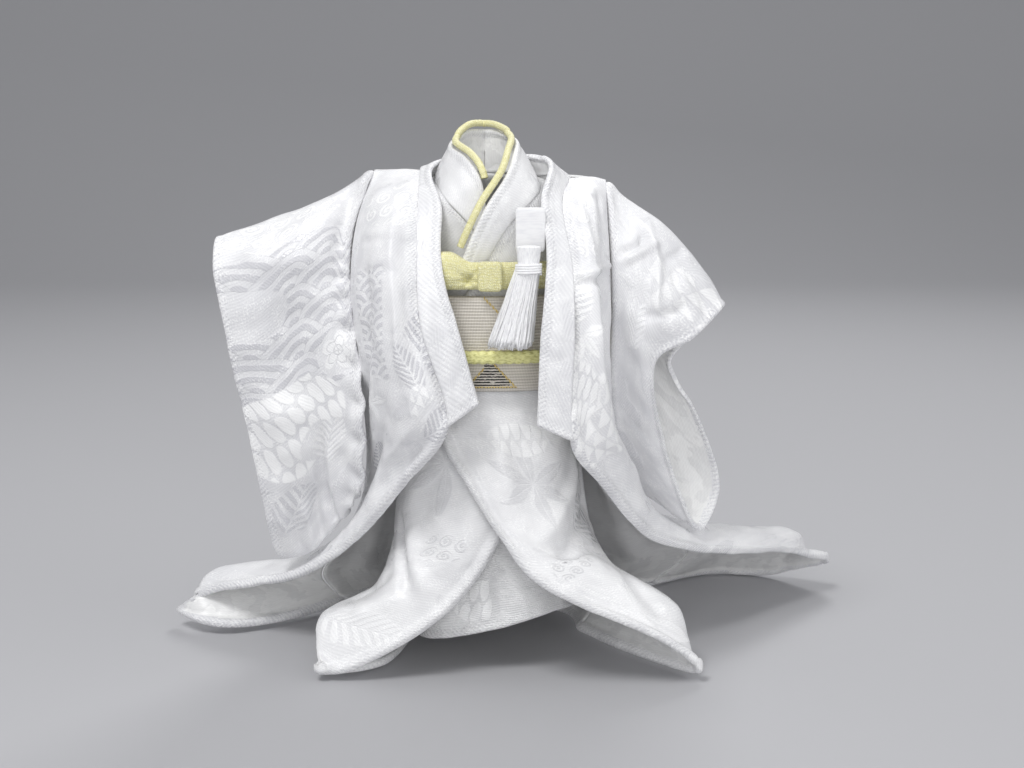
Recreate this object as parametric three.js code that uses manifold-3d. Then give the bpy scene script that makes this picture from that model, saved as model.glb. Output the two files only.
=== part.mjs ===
// A doll's shiromuku: a white Japanese bridal ensemble, worn open and spread as on its doll.
// It has a long outer robe (uchikake) with wide sleeves, a wrapped inner kimono with a piped collar,
// an underskirt, an obi with its sash and cord, and a dagger case with a tassel.
//
// Millimetres. +Z is up, -Y is the front, and +X is the wearer's left. The origin lies on the
// shoulder line, in the middle of the body. Each piece of cloth is a wall of even thickness, lofted
// through a short table of sections, and neighbouring pieces stay a seam's gap apart.

import * as THREE from "three";
import Module from "manifold-3d";
import { mergeVertices } from "three/addons/utils/BufferGeometryUtils.js";

const wasm = await Module();
wasm.setup();

// Driving dimensions.
const WALL = 1.0; // thickness of the cloth with its lining
const SEAM = 0.3; // gap between two pieces at a seam
const FLOOR = -74; // height of the hem, where it touches the ground
const MERGE = 0.01; // corners of a joined solid nearer than this become one

// Colours of the cloths and cords.
const WHITE_BROCADE = { color: 0xf1f1f4, roughness: 0.42 };
const WHITE_SATIN = { color: 0xeeeef0, roughness: 0.36 };
const PALE_YELLOW = { color: 0xe9e3a2, roughness: 0.5 };
const BELT_WEAVE = { color: 0xd8cdc0, roughness: 0.55 };
const WHITE_SILK = { color: 0xf6f6f6, roughness: 0.45 };

// ---------------------------------------------------------------- curves and surfaces

const mix = (a, b, t) => a + (b - a) * t;
const clamp01 = (t) => Math.min(Math.max(t, 0), 1);
const smooth = (t) => clamp01(t) ** 2 * (3 - 2 * clamp01(t));
const vector = ([x, y, z]) => new THREE.Vector3(x, y, z);

/** A point of the uniform Catmull-Rom curve through points, at t from 0 to 1. */
function splinePoint(points, t, closed = false) {
  const count = points.length;
  const spans = closed ? count : count - 1;
  const place = clamp01(t) * spans;
  const index = Math.min(Math.floor(place), spans - 1);
  const f = place - index;
  const pick = (k) => {
    if (closed) return points[(k + count) % count];
    if (k < 0) return points[0].clone().multiplyScalar(2).sub(points[1]);
    if (k >= count) return points[count - 1].clone().multiplyScalar(2).sub(points[count - 2]);
    return points[k];
  };
  const [a, b, c, d] = [pick(index - 1), pick(index), pick(index + 1), pick(index + 2)];
  const weights = [
    -0.5 * f + f * f - 0.5 * f ** 3,
    1 - 2.5 * f * f + 1.5 * f ** 3,
    0.5 * f + 2 * f * f - 1.5 * f ** 3,
    -0.5 * f * f + 0.5 * f ** 3,
  ];
  return new THREE.Vector3()
    .addScaledVector(a, weights[0])
    .addScaledVector(b, weights[1])
    .addScaledVector(c, weights[2])
    .addScaledVector(d, weights[3]);
}

/** The curve down one column of a table of sections, from v = 0 at its first row to v = 1. */
function columnLine(rows, name) {
  const points = rows.map((row) => vector(row[name]));
  return (v) => splinePoint(points, v);
}

/**
 * The surface through a table of sections: u runs along a section's columns, v down the rows.
 * lines may give a column's curve itself, in place of the one through the table.
 */
function loft(rows, columns, { closed = false, lines = {} } = {}) {
  const curves = columns.map((name) => lines[name] ?? columnLine(rows, name));
  return (u, v) => splinePoint(curves.map((curve) => curve(v)), u, closed);
}

/** The outward unit normal of a surface, by differences; turn is -1 where u and v run the other way. */
function normalAt(surface, u, v, turn, step = 1e-3) {
  const [u0, u1] = [clamp01(u - step), clamp01(u + step)];
  const [v0, v1] = [clamp01(v - step), clamp01(v + step)];
  const across = surface(u1, v).sub(surface(u0, v));
  const down = surface(u, v1).sub(surface(u, v0));
  return across.cross(down).normalize().multiplyScalar(turn);
}

/** The surface with soft folds: each fold is a ridge or trough that runs down it from u = at to u = to. */
function folded(surface, folds, turn) {
  return (u, v) => {
    const point = surface(u, v);
    let lift = 0;
    for (const { at, to, width, depth, from, until } of folds) {
      const middle = mix(at, to, v);
      const reach = smooth((v - from) / 0.15) * smooth((until - v) / 0.15);
      lift += depth * reach * Math.exp(-(((u - middle) / width) ** 2));
    }
    return lift ? point.addScaledVector(normalAt(surface, u, v, turn), lift) : point;
  };
}

// ---------------------------------------------------------------- solids

/** A closed geometry from vertices and the quads and triangles that join them. */
function geometryOf(vertices, faces) {
  const index = faces.flatMap((f) => (f.length === 4 ? [f[0], f[1], f[2], f[0], f[2], f[3]] : f));
  const geometry = new THREE.BufferGeometry();
  const positions = vertices.flatMap((p) => p.toArray());
  geometry.setAttribute("position", new THREE.Float32BufferAttribute(positions, 3));
  geometry.setIndex(index);
  return geometry;
}

/**
 * A wall of cloth over a grid of outer points, grid[row][column].
 * The wall goes inwards along the grid's normals; rim gives the normal along a border, as a function
 * of v, so that two pieces that meet there are mitred. inset pulls a border back by half a seam's gap.
 */
function wallOver(grid, { turn = 1, closed = false, wall = WALL, rim = {}, inset = [] }) {
  const rows = grid.length;
  const columns = grid[0].length;
  const wrap = (i) => (closed ? (i + columns) % columns : Math.min(Math.max(i, 0), columns - 1));
  const hold = (j) => Math.min(Math.max(j, 0), rows - 1);
  const outer = grid.map((line) => line.map((p) => p.clone()));
  const pull = (j, i, toJ, toI) =>
    outer[j][i].addScaledVector(grid[toJ][toI].clone().sub(grid[j][i]).normalize(), SEAM / 2);
  for (let j = 0; j < rows; j++) {
    if (inset.includes("first")) pull(j, 0, j, 1);
    if (inset.includes("last")) pull(j, columns - 1, j, columns - 2);
  }
  for (let i = 0; i < columns; i++) {
    if (inset.includes("top")) pull(0, i, 1, i);
    if (inset.includes("bottom")) pull(rows - 1, i, rows - 2, i);
  }
  const fixed = (j, i) => {
    if (j === 0 && rim.top) return rim.top();
    if (i === 0 && rim.first) return rim.first(j / (rows - 1));
    if (i === columns - 1 && rim.last) return rim.last(j / (rows - 1));
    return null;
  };
  const inner = outer.map((line, j) =>
    line.map((p, i) => {
      const across = outer[j][wrap(i + 1)].clone().sub(outer[j][wrap(i - 1)]);
      const down = outer[hold(j + 1)][i].clone().sub(outer[hold(j - 1)][i]);
      const normal = fixed(j, i) ?? across.cross(down).normalize().multiplyScalar(turn);
      return p.clone().addScaledVector(normal, -wall);
    }),
  );
  const vertices = [...outer.flat(), ...inner.flat()];
  const size = rows * columns;
  const at = (layer, j, i) => layer * size + j * columns + wrap(i);
  const faces = [];
  const add = (a, b, c, d) => faces.push(turn > 0 ? [a, b, c, d] : [d, c, b, a]);
  const spans = closed ? columns : columns - 1;
  for (let i = 0; i < spans; i++) {
    for (let j = 0; j < rows - 1; j++) {
      add(at(0, j, i), at(0, j, i + 1), at(0, j + 1, i + 1), at(0, j + 1, i));
      add(at(1, j + 1, i), at(1, j + 1, i + 1), at(1, j, i + 1), at(1, j, i));
    }
    add(at(1, 0, i), at(1, 0, i + 1), at(0, 0, i + 1), at(0, 0, i));
    add(at(0, rows - 1, i), at(0, rows - 1, i + 1), at(1, rows - 1, i + 1), at(1, rows - 1, i));
  }
  if (!closed) {
    const last = columns - 1;
    for (let j = 0; j < rows - 1; j++) {
      add(at(0, j, 0), at(0, j + 1, 0), at(1, j + 1, 0), at(1, j, 0));
      add(at(1, j, last), at(1, j + 1, last), at(0, j + 1, last), at(0, j, last));
    }
  }
  return geometryOf(vertices, faces);
}

/** The grid of a surface's points; a closed one leaves out the column that repeats the first. */
function gridOf(surface, columns, rows, closed = false) {
  const line = (v) =>
    Array.from({ length: closed ? columns : columns + 1 }, (_, i) => surface(i / columns, v));
  return Array.from({ length: rows + 1 }, (_, j) => line(j / rows));
}

/** A full, round-edged roll: sections[k] is a ring of points, and the rings are joined and capped. */
function rollOf(sections, { ring = false } = {}) {
  const sides = sections[0].length;
  const count = sections.length;
  const vertices = sections.flat();
  const at = (k, i) => (k % count) * sides + (i % sides);
  const faces = [];
  for (let k = 0; k < (ring ? count : count - 1); k++)
    for (let i = 0; i < sides; i++) faces.push([at(k, i), at(k, i + 1), at(k + 1, i + 1), at(k + 1, i)]);
  if (!ring)
    for (const [k, order] of [[0, -1], [count - 1, 1]]) {
      const middle = new THREE.Vector3();
      sections[k].forEach((p) => middle.addScaledVector(p, 1 / sides));
      vertices.push(middle);
      for (let i = 0; i < sides; i++) {
        const edge = [at(k, i), at(k, i + 1)];
        faces.push(order > 0 ? [...edge, vertices.length - 1] : [edge[1], edge[0], vertices.length - 1]);
      }
    }
  return geometryOf(vertices, faces);
}

/** The geometry as a manifold-3d solid, turned so that its faces point out. */
function solidOf(geometry) {
  const bare = geometry.clone();
  bare.deleteAttribute("normal");
  bare.deleteAttribute("uv");
  const merged = mergeVertices(bare, 1e-4);
  return new wasm.Manifold(
    new wasm.Mesh({
      numProp: 3,
      vertProperties: merged.attributes.position.array,
      triVerts: new Uint32Array(merged.index.array),
    }),
  );
}

/** The three.js geometry of a manifold-3d solid. */
function geometryOfSolid(solid) {
  const mesh = solid.getMesh();
  const geometry = new THREE.BufferGeometry();
  geometry.setAttribute("position", new THREE.BufferAttribute(new Float32Array(mesh.vertProperties), 3));
  geometry.setIndex(new THREE.BufferAttribute(new Uint32Array(mesh.triVerts), 1));
  return geometry;
}

const part = new THREE.Group();

/** Adds a named piece to the part. */
function addPiece(name, geometry, finish) {
  geometry.computeVertexNormals();
  const material = new THREE.MeshStandardMaterial({ ...finish, metalness: 0, side: THREE.DoubleSide });
  const mesh = new THREE.Mesh(geometry, material);
  mesh.name = name;
  part.add(mesh);
}

// ---------------------------------------------------------------- the outer robe

// Each row is a section across a panel, from the shoulder to the hem.
// edge is the front edge, lip and turn lie between it and the side seam.
const FRONT_COLUMNS = ["edge", "lip", "turn", "side"];
const ROBE_FRONT_RIGHT = [
  { edge: [-10.6, -0.2, 0.8], lip: [-13, -0.2, 0.9], turn: [-15.5, -0.3, 0.9], side: [-17.6, -0.4, 0.7] },
  {
    edge: [-10.5, -9, -4.2], lip: [-13.3, -9.4, -4.2],
    turn: [-17.2, -8.2, -4.7], side: [-20, -4.5, -6.9],
  },
  {
    edge: [-10.2, -15, -12.2], lip: [-13.2, -15.6, -12.2],
    turn: [-18, -13.2, -12.8], side: [-20.8, -7, -15.2],
  },
  {
    edge: [-9.3, -18, -21], lip: [-12.6, -18.6, -20.9],
    turn: [-17.4, -15.4, -21.9], side: [-20.4, -7, -24.9],
  },
  {
    edge: [-5.9, -18.4, -34.7], lip: [-10.8, -18.8, -33.6],
    turn: [-16.5, -14.8, -33.8], side: [-19.6, -2, -38.5],
  },
  {
    edge: [-13, -14.8, -44.5], lip: [-15.2, -12.4, -42],
    turn: [-18, -7.5, -42.6], side: [-20.4, 2.6, -48],
  },
  {
    edge: [-20.6, -8, -54.3], lip: [-22.1, -4.5, -53.2],
    turn: [-22.6, 2.6, -54.6], side: [-22.4, 7.4, -55],
  },
  {
    edge: [-31.7, -1, -62.5], lip: [-31.4, 7, -62.2],
    turn: [-28.4, 11.4, -62.4], side: [-26.4, 14, -62.6],
  },
  {
    edge: [-46, 5.5, -67.5], lip: [-47.1, 10, -65.9],
    turn: [-36.4, 14, -67.6], side: [-29.6, 16, -68.4],
  },
  {
    edge: [-53.7, 9.6, -72.3], lip: [-45.7, 4.4, -73.4],
    turn: [-36.8, 7.2, FLOOR], side: [-25.8, 16.6, FLOOR],
  },
];
const ROBE_FRONT_LEFT = [
  {
    edge: [11.5, -0.2, -0.4], lip: [13.5, -0.2, -0.2],
    turn: [15.3, -0.3, -0.2], side: [17.1, -0.4, -0.7],
  },
  { edge: [10, -9.4, -4.2], lip: [12.8, -9.2, -4.2], turn: [15.5, -7, -4.7], side: [17.2, -4, -6.4] },
  {
    edge: [11.2, -16.2, -12.1], lip: [13.9, -15.6, -12.2],
    turn: [16.4, -12, -13], side: [17.6, -6, -14.6],
  },
  {
    edge: [11.4, -19.6, -20.7], lip: [14.4, -18.6, -20.9],
    turn: [16.8, -14, -21.9], side: [17.6, -6, -24.3],
  },
  {
    edge: [11.4, -20, -36.4], lip: [15.2, -17.8, -34.6],
    turn: [18.1, -13, -33.4], side: [17.8, -1.6, -38],
  },
  {
    edge: [16.3, -15.6, -44.3], lip: [19.1, -12.4, -41.4],
    turn: [21.7, -7, -42.7], side: [16.6, 2.4, -47],
  },
  { edge: [24, -7.4, -54.4], lip: [25.8, -4, -52.4], turn: [25.6, 3.6, -53], side: [21.6, 8.4, -55] },
  { edge: [35.3, 2, -59.7], lip: [36.6, 9.4, -58.2], turn: [34, 15, -58.8], side: [27.4, 17.4, -60.6] },
  { edge: [51, 16.6, -64.4], lip: [53.4, 23.4, -63.2], turn: [46, 26.4, -64.4], side: [34, 25, -67] },
  {
    edge: [60.7, 25, -67.9], lip: [50.3, 32.8, -73.8],
    turn: [39.5, 34.6, FLOOR], side: [28, 28.5, FLOOR],
  },
];
// The back halves run from the side seam to the centre back, with the neckline on their top row.
const BACK_COLUMNS = ["side", "blade", "neck", "centre"];
const ROBE_BACK_RIGHT = [
  {
    side: [-17.6, 0.2, 0.7], blade: [-14, 0.2, 0.9],
    neck: [-10.6, 0.2, 0.8], centre: [-0.6, 10.4, -1.2],
  },
  { side: [-20.4, 2.8, -7], blade: [-16.4, 7.4, -5.6], neck: [-9.8, 11, -5.2], centre: [-0.5, 13, -6] },
  { side: [-21, 4, -15.5], blade: [-17, 10.4, -15], neck: [-9.5, 14, -15.4], centre: [-0.4, 15.4, -16] },
  {
    side: [-20.6, 3.2, -26], blade: [-16.8, 11, -26.6],
    neck: [-9.4, 15.6, -27], centre: [-0.2, 17, -28],
  },
  { blade: [-18, 10.4, -38.8], neck: [-10.4, 16.4, -39.6], centre: [0, 18.4, -40.5] },
  { blade: [-19.2, 11.6, -48.6], neck: [-11.6, 18.2, -50], centre: [0, 20.8, -51] },
  { blade: [-20.2, 14.6, -55.6], neck: [-12, 20.8, -57], centre: [0, 23.4, -57.8] },
  { blade: [-21.8, 19.4, -62.4], neck: [-13, 24.4, -63.6], centre: [0, 26.8, -64.2] },
  { blade: [-23.6, 22, -68.8], neck: [-13.4, 28, -69.6], centre: [0, 30.8, -70] },
  { blade: [-19.6, 24.6, FLOOR], neck: [-10.6, 31.2, FLOOR], centre: [0, 34, FLOOR] },
];
const ROBE_BACK_LEFT = [
  { side: [17, 0.2, -0.7], blade: [13, 0.2, 0], neck: [8.8, 0.2, 0], centre: [-0.6, 10.4, -1.2] },
  { side: [17.6, 2.8, -6], blade: [14.6, 7, -5.2], neck: [8.8, 11, -5.2], centre: [-0.5, 13, -6] },
  { side: [18, 4, -15.5], blade: [15.2, 10, -15], neck: [8.6, 14, -15.4], centre: [-0.4, 15.4, -16] },
  { side: [17.8, 3.4, -26], blade: [15.6, 10.8, -26.6], neck: [9, 15.6, -27], centre: [-0.2, 17, -28] },
  { blade: [16.8, 10.2, -38.8], neck: [10.2, 16.4, -39.6], centre: [0, 18.4, -40.5] },
  { blade: [18.6, 11.8, -48], neck: [11.6, 18.2, -50], centre: [0, 20.8, -51] },
  { blade: [20.6, 15.4, -55], neck: [12.2, 20.8, -56.8], centre: [0, 23.4, -57.8] },
  { blade: [22.6, 20.8, -61.8], neck: [13.2, 24.6, -63.4], centre: [0, 26.8, -64.2] },
  { blade: [25, 25.6, -68.4], neck: [13.8, 28.8, -69.4], centre: [0, 30.8, -70] },
  { blade: [20, 29.6, FLOOR], neck: [10.6, 32.6, FLOOR], centre: [0, 34, FLOOR] },
];
// Soft folds of a panel: where one starts and ends across it, its width, its height and its reach down it.
const ROBE_FRONT_FOLDS = [
  { at: 0.34, to: 0.4, width: 0.09, depth: 0.9, from: 0.05, until: 0.62 },
  { at: 0.66, to: 0.62, width: 0.1, depth: -1.0, from: 0.12, until: 0.7 },
];
const ROBE_BACK_FOLDS = [
  { at: 0.3, to: 0.36, width: 0.1, depth: -1.1, from: 0.3, until: 1.1 },
  { at: 0.62, to: 0.66, width: 0.1, depth: 1.0, from: 0.35, until: 1.1 },
];
const PANEL_COLUMNS = 8;
const PANEL_ROWS = 18;
const UP = new THREE.Vector3(0, 0, 1);

/**
 * The four panels of a robe or kimono body, as surfaces and as solids.
 * Where a front and a back are sewn together, from the row sewnFrom on, the back takes the front's
 * side line, and both walls end on one plane, a seam's gap apart.
 */
function bodyOf({ fronts, backs, frontFolds, backFolds, sewnFrom }) {
  const sides = [-1, 1].map((hand, k) => {
    const sewn = sewnFrom / (fronts[k].length - 1);
    const sideSeam = columnLine(fronts[k], "side");
    const armhole = columnLine([...backs[k].slice(0, sewnFrom), fronts[k][sewnFrom]], "side");
    const side = (v) => (v < sewn ? armhole(v / sewn) : sideSeam(v));
    const front = folded(loft(fronts[k], FRONT_COLUMNS), frontFolds, -hand);
    const back = folded(loft(backs[k], BACK_COLUMNS, { lines: { side } }), backFolds, -hand);
    return { hand, front, back, sewn };
  });
  const [right, left] = sides;
  const centreLine = (v) => normalAt(right.back, 1, v, 1).add(normalAt(left.back, 1, v, -1)).normalize();
  const solidsOf = ({ hand, front, back, sewn }) => {
    const turn = -hand;
    const sideLine = (own, u) => (v) => {
      const normal = normalAt(own, u, v, turn);
      if (v < sewn) return normal;
      return normalAt(front, 1, v, turn).add(normalAt(back, 0, v, turn)).normalize();
    };
    const grid = (surface) => gridOf(surface, PANEL_COLUMNS, PANEL_ROWS);
    return {
      front: wallOver(grid(front), {
        turn,
        inset: ["top", "first", "last"],
        rim: { top: () => UP, last: sideLine(front, 1) },
      }),
      back: wallOver(grid(back), {
        turn,
        inset: ["top", "first", "last"],
        rim: { top: () => UP, first: sideLine(back, 0), last: centreLine },
      }),
    };
  };
  return { right, left, rightSolids: solidsOf(right), leftSolids: solidsOf(left) };
}

const robe = bodyOf({
  fronts: [ROBE_FRONT_RIGHT, ROBE_FRONT_LEFT],
  backs: [ROBE_BACK_RIGHT, ROBE_BACK_LEFT],
  frontFolds: ROBE_FRONT_FOLDS,
  backFolds: ROBE_BACK_FOLDS,
  sewnFrom: 4,
});
addPiece("robe_front_right", robe.rightSolids.front, WHITE_BROCADE);
addPiece("robe_front_left", robe.leftSolids.front, WHITE_BROCADE);
addPiece("robe_back_right", robe.rightSolids.back, WHITE_BROCADE);
addPiece("robe_back_left", robe.leftSolids.back, WHITE_BROCADE);

/**
 * The seam line that a collar is sewn to: up the right front edge, round the back neckline, and
 * down the left front edge. reach is how far down the panels it goes, as a share of their rows.
 */
function collarSeam(body, reach) {
  const neckStart = 2 / 3;
  const stretches = [
    (t) => body.right.front(0, reach.right * (1 - t)),
    (t) => body.right.back(mix(neckStart, 1, t), 0),
    (t) => body.left.back(mix(1, neckStart, t), 0),
    (t) => body.left.front(0, reach.left * t),
  ];
  const bounds = [0, 0.38, 0.5, 0.62, 1];
  return (t) => {
    const k = Math.min(bounds.findLastIndex((b) => t >= b), stretches.length - 1);
    return stretches[k]((t - bounds[k]) / (bounds[k + 1] - bounds[k]));
  };
}

/** A collar band: it spans from the seam line to its smooth free edge, whose steps a table gives. */
function collarSurface(seam, steps, crown) {
  const edge = steps.map((row, k) => seam(k / (steps.length - 1)).add(vector(row.free)));
  return (u, v) => {
    const [base, free] = [seam(v), splinePoint(edge, v)];
    const ahead = seam(clamp01(v + 0.02)).sub(seam(clamp01(v - 0.02)));
    const outwards = free.clone().sub(base).cross(ahead).normalize();
    return base.lerp(free, u).addScaledVector(outwards, crown * Math.sin(Math.PI * u));
  };
}

// free is the step from the seam to the band's free edge, from the right foot round to the left foot.
const ROBE_COLLAR = [
  { free: [4.4, 0.2, 3.2] },
  { free: [4.2, 0.1, 2.6] },
  { free: [3.7, -0.2, 1.4] },
  { free: [3.3, -0.6, 0.2] },
  { free: [3.4, -1.2, 0.3] },
  { free: [1.7, -0.3, 1] },
  { free: [0.8, 0.5, 2.6] },
  { free: [0, 0.8, 3.2] },
  { free: [-1.6, 0.7, 3.4] },
  { free: [-2.6, 0.3, 3.2] },
  { free: [-2.8, -1.6, 0.9] },
  { free: [-3.1, -0.9, 0.2] },
  { free: [-3.9, -0.6, 0.4] },
  { free: [-4.5, -0.4, 1.2] },
  { free: [-5, -0.2, 2.2] },
];
const robeSeam = collarSeam(robe, { right: 4 / 9, left: 4 / 9 });
const robeCollar = collarSurface(robeSeam, ROBE_COLLAR, 0.3);
addPiece("robe_collar", wallOver(gridOf(robeCollar, 3, 36), { inset: ["first"] }), WHITE_BROCADE);

// A sleeve is a flattened tube, open towards the body and at the wrist. Each row is a loop round
// the arm, from the armhole to the wrist, and its columns go down the front and up the back.
const SLEEVE_COLUMNS = [
  "top", "frontArm", "frontWrist", "frontDrop", "frontFoot",
  "foot", "backFoot", "backDrop", "backWrist", "backArm",
];
const SLEEVE_RIGHT = [
  {
    top: [-18.1, -0.2, 0.3], frontArm: [-20.6, -5.2, -7.4], frontWrist: [-21, -8.4, -17],
    frontDrop: [-19.4, -10.4, -33], frontFoot: [-20.6, -7.2, -47.6], foot: [-22.2, -0.4, -51.8],
    backFoot: [-21.8, 1, -47.6], backDrop: [-21.2, 2.2, -33], backWrist: [-22, 3.4, -17],
    backArm: [-21.4, 3.2, -8],
  },
  {
    top: [-25.2, -1.2, -3.6], frontArm: [-27, -8, -9.6], frontWrist: [-27, -8.6, -19],
    frontDrop: [-26, -7, -34], frontFoot: [-26, -2.2, -52], foot: [-26.4, 0.4, -57],
    backFoot: [-26.6, 2.6, -52], backDrop: [-26.8, 2.2, -34], backWrist: [-27.2, 2.8, -19],
    backArm: [-26.8, 2.8, -10],
  },
  {
    top: [-33.2, -2.4, -6.6], frontArm: [-34, -8, -12.2], frontWrist: [-33.2, -8.2, -22],
    frontDrop: [-31.6, -6, -37], frontFoot: [-30.4, -1.6, -55.4], foot: [-30, 1, -60.2],
    backFoot: [-30.6, 3.2, -55.4], backDrop: [-31.8, 1.6, -37], backWrist: [-33.6, 1.6, -22],
    backArm: [-34, 1.6, -12.6],
  },
  {
    top: [-41.2, -3.4, -9.4], frontArm: [-40.8, -7, -14.6], frontWrist: [-39.2, -7, -25],
    frontDrop: [-37, -4.6, -40], frontFoot: [-35, -1.2, -56.4], foot: [-34, 1.2, -60.4],
    backFoot: [-34.9, 1.8, -56.4], backDrop: [-37.2, 0, -42], backWrist: [-39.4, 0.6, -25],
    backArm: [-41.2, 0.4, -15],
  },
];
const SLEEVE_LEFT = [
  {
    top: [17.5, -0.2, -1.2], frontArm: [17.3, -3.3, -7], frontWrist: [17.5, -4.9, -17],
    frontDrop: [17.5, -2.6, -31], frontFoot: [19.2, 1, -43], foot: [22.4, 3, -49.4],
    backFoot: [22, 4.8, -43], backDrop: [19.6, 4.4, -31], backWrist: [19.2, 4.8, -17],
    backArm: [18.6, 4, -8],
  },
  {
    top: [23.2, -1, -5.4], frontArm: [22.4, -6.6, -11.6], frontWrist: [20.4, -6.4, -21],
    frontDrop: [20.4, -3.2, -34], frontFoot: [23.6, 0.8, -47], foot: [26.6, 3.2, -52.4],
    backFoot: [26, 5.4, -47], backDrop: [23.4, 4.8, -34], backWrist: [22, 3.6, -21],
    backArm: [23.2, 3, -12],
  },
  {
    top: [29, -1.8, -10.6], frontArm: [26.2, -7.6, -17.4], frontWrist: [22.2, -7.4, -25],
    frontDrop: [23.4, -3.4, -38], frontFoot: [27.8, 0.2, -51], foot: [30.6, 2.8, -54.6],
    backFoot: [31.8, 5.8, -48.6], backDrop: [28, 5.4, -36], backWrist: [24.8, 3, -25],
    backArm: [28, 2.2, -17],
  },
  {
    top: [35.4, -2.4, -19.4], frontArm: [30, -6.8, -24], frontWrist: [24.4, -6.4, -28.2],
    frontDrop: [26.4, -3.2, -41], frontFoot: [31, 0, -53.6], foot: [33.4, 2.6, -56.4],
    backFoot: [36.4, 5.6, -49.4], backDrop: [32.6, 5, -38], backWrist: [27.8, 2.2, -29.4],
    backArm: [31.8, 0.8, -24],
  },
];
const SLEEVE_AROUND = 26;
const SLEEVE_ALONG = 6;

/** A sleeve, as a wall round its loops; turn says on which side of the body it is. */
function sleeveSolid(rows, turn) {
  const surface = loft(rows, SLEEVE_COLUMNS, { closed: true });
  const grid = gridOf(surface, SLEEVE_AROUND, SLEEVE_ALONG, true);
  return wallOver(grid, { turn, closed: true, inset: ["top"] });
}
addPiece("robe_sleeve_right", sleeveSolid(SLEEVE_RIGHT, -1), WHITE_BROCADE);
addPiece("robe_sleeve_left", sleeveSolid(SLEEVE_LEFT, 1), WHITE_BROCADE);

// ---------------------------------------------------------------- the inner kimono

const KIMONO_FRONT_RIGHT = [
  {
    edge: [-8.6, -0.2, -0.6], lip: [-10.6, -0.2, -1.2],
    turn: [-12.6, -0.3, -1.9], side: [-14.6, -0.4, -2.8],
  },
  { edge: [-6.5, -8.2, -3], lip: [-9.4, -6.8, -4.5], turn: [-12.2, -4.6, -5], side: [-14, -3.4, -6] },
  { edge: [-2.4, -10.4, -7.4], lip: [-7.4, -9, -9], turn: [-11, -6, -10], side: [-13.4, -3.6, -11] },
  { edge: [2.6, -9.4, -15.5], lip: [-4, -9.7, -16.5], turn: [-9.8, -7.2, -17], side: [-13, -0.9, -18] },
  { edge: [5, -9.2, -26], lip: [-2.6, -9.9, -27], turn: [-9.8, -7.6, -27], side: [-13.3, -0.9, -28] },
  { edge: [5.4, -10.6, -36], lip: [-2.8, -11.4, -37], turn: [-10.6, -8.8, -37], side: [-14, -0.9, -38] },
  { edge: [4.6, -12, -45], lip: [-4, -12.6, -46], turn: [-12, -9, -46], side: [-15, 0.2, -47] },
  {
    edge: [-1.1, -13.6, -57.5], lip: [-6.4, -13.8, -54.4],
    turn: [-14.2, -9, -54.5], side: [-15.8, 1.6, -56],
  },
  {
    edge: [-9.1, -14.8, -65.9], lip: [-14.9, -12.6, -62.5],
    turn: [-18.8, -7, -62.6], side: [-16.4, 3.6, -63],
  },
  { edge: [-21.7, -15, -72.9], lip: [-26.1, -11, -68.5], turn: [-25.9, -5, -67.3], side: [-17, 5, -69] },
  {
    edge: [-28.3, -13.2, -73.1], lip: [-24.6, -14.1, -73.8],
    turn: [-16.3, -9.8, FLOOR], side: [-12.6, 4, FLOOR],
  },
];
const KIMONO_FRONT_LEFT = [
  { edge: [6.6, -0.2, -0.4], lip: [8.8, -0.2, -1.2], turn: [11.2, -0.3, -2], side: [13.6, -0.4, -3] },
  { edge: [6.6, -7.6, -2.4], lip: [8.8, -7.2, -4.6], turn: [11, -4.8, -5.2], side: [12.6, -3.4, -6] },
  { edge: [2.1, -11.6, -7.3], lip: [6, -10.2, -10.6], turn: [9.8, -6.6, -10.8], side: [12, -3.6, -11] },
  { edge: [-1.6, -11.6, -13.6], lip: [4, -11.2, -17], turn: [9.2, -7.6, -17.4], side: [11.8, -0.9, -18] },
  { edge: [-8.2, -10.6, -25], lip: [1, -11.6, -27], turn: [8.6, -8.6, -27.2], side: [12, -0.9, -28] },
  {
    edge: [-7.8, -12.6, -36.5], lip: [2, -13.6, -37],
    turn: [9.8, -10.6, -37.4], side: [13.2, -0.9, -38],
  },
  {
    edge: [-3.7, -15.2, -43.9], lip: [4.6, -15, -45.4],
    turn: [11.4, -10.4, -46.2], side: [14.2, 0.2, -47],
  },
  { edge: [1, -16.8, -51], lip: [9, -15.6, -53.8], turn: [15, -9, -54.6], side: [15.4, 1.6, -56] },
  {
    edge: [7.6, -18.4, -58.6], lip: [13.5, -15.4, -55.7],
    turn: [18.2, -8, -57.8], side: [16.6, 3.6, -63],
  },
  { edge: [24, -17.6, -66.2], lip: [28.4, -13, -66.5], turn: [27.6, -7, -65.2], side: [17.4, 5, -69] },
  {
    edge: [32.8, -14.6, -72], lip: [29.9, -12.6, -73.8],
    turn: [20.3, -3.9, FLOOR], side: [14, 4, FLOOR],
  },
];
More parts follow.
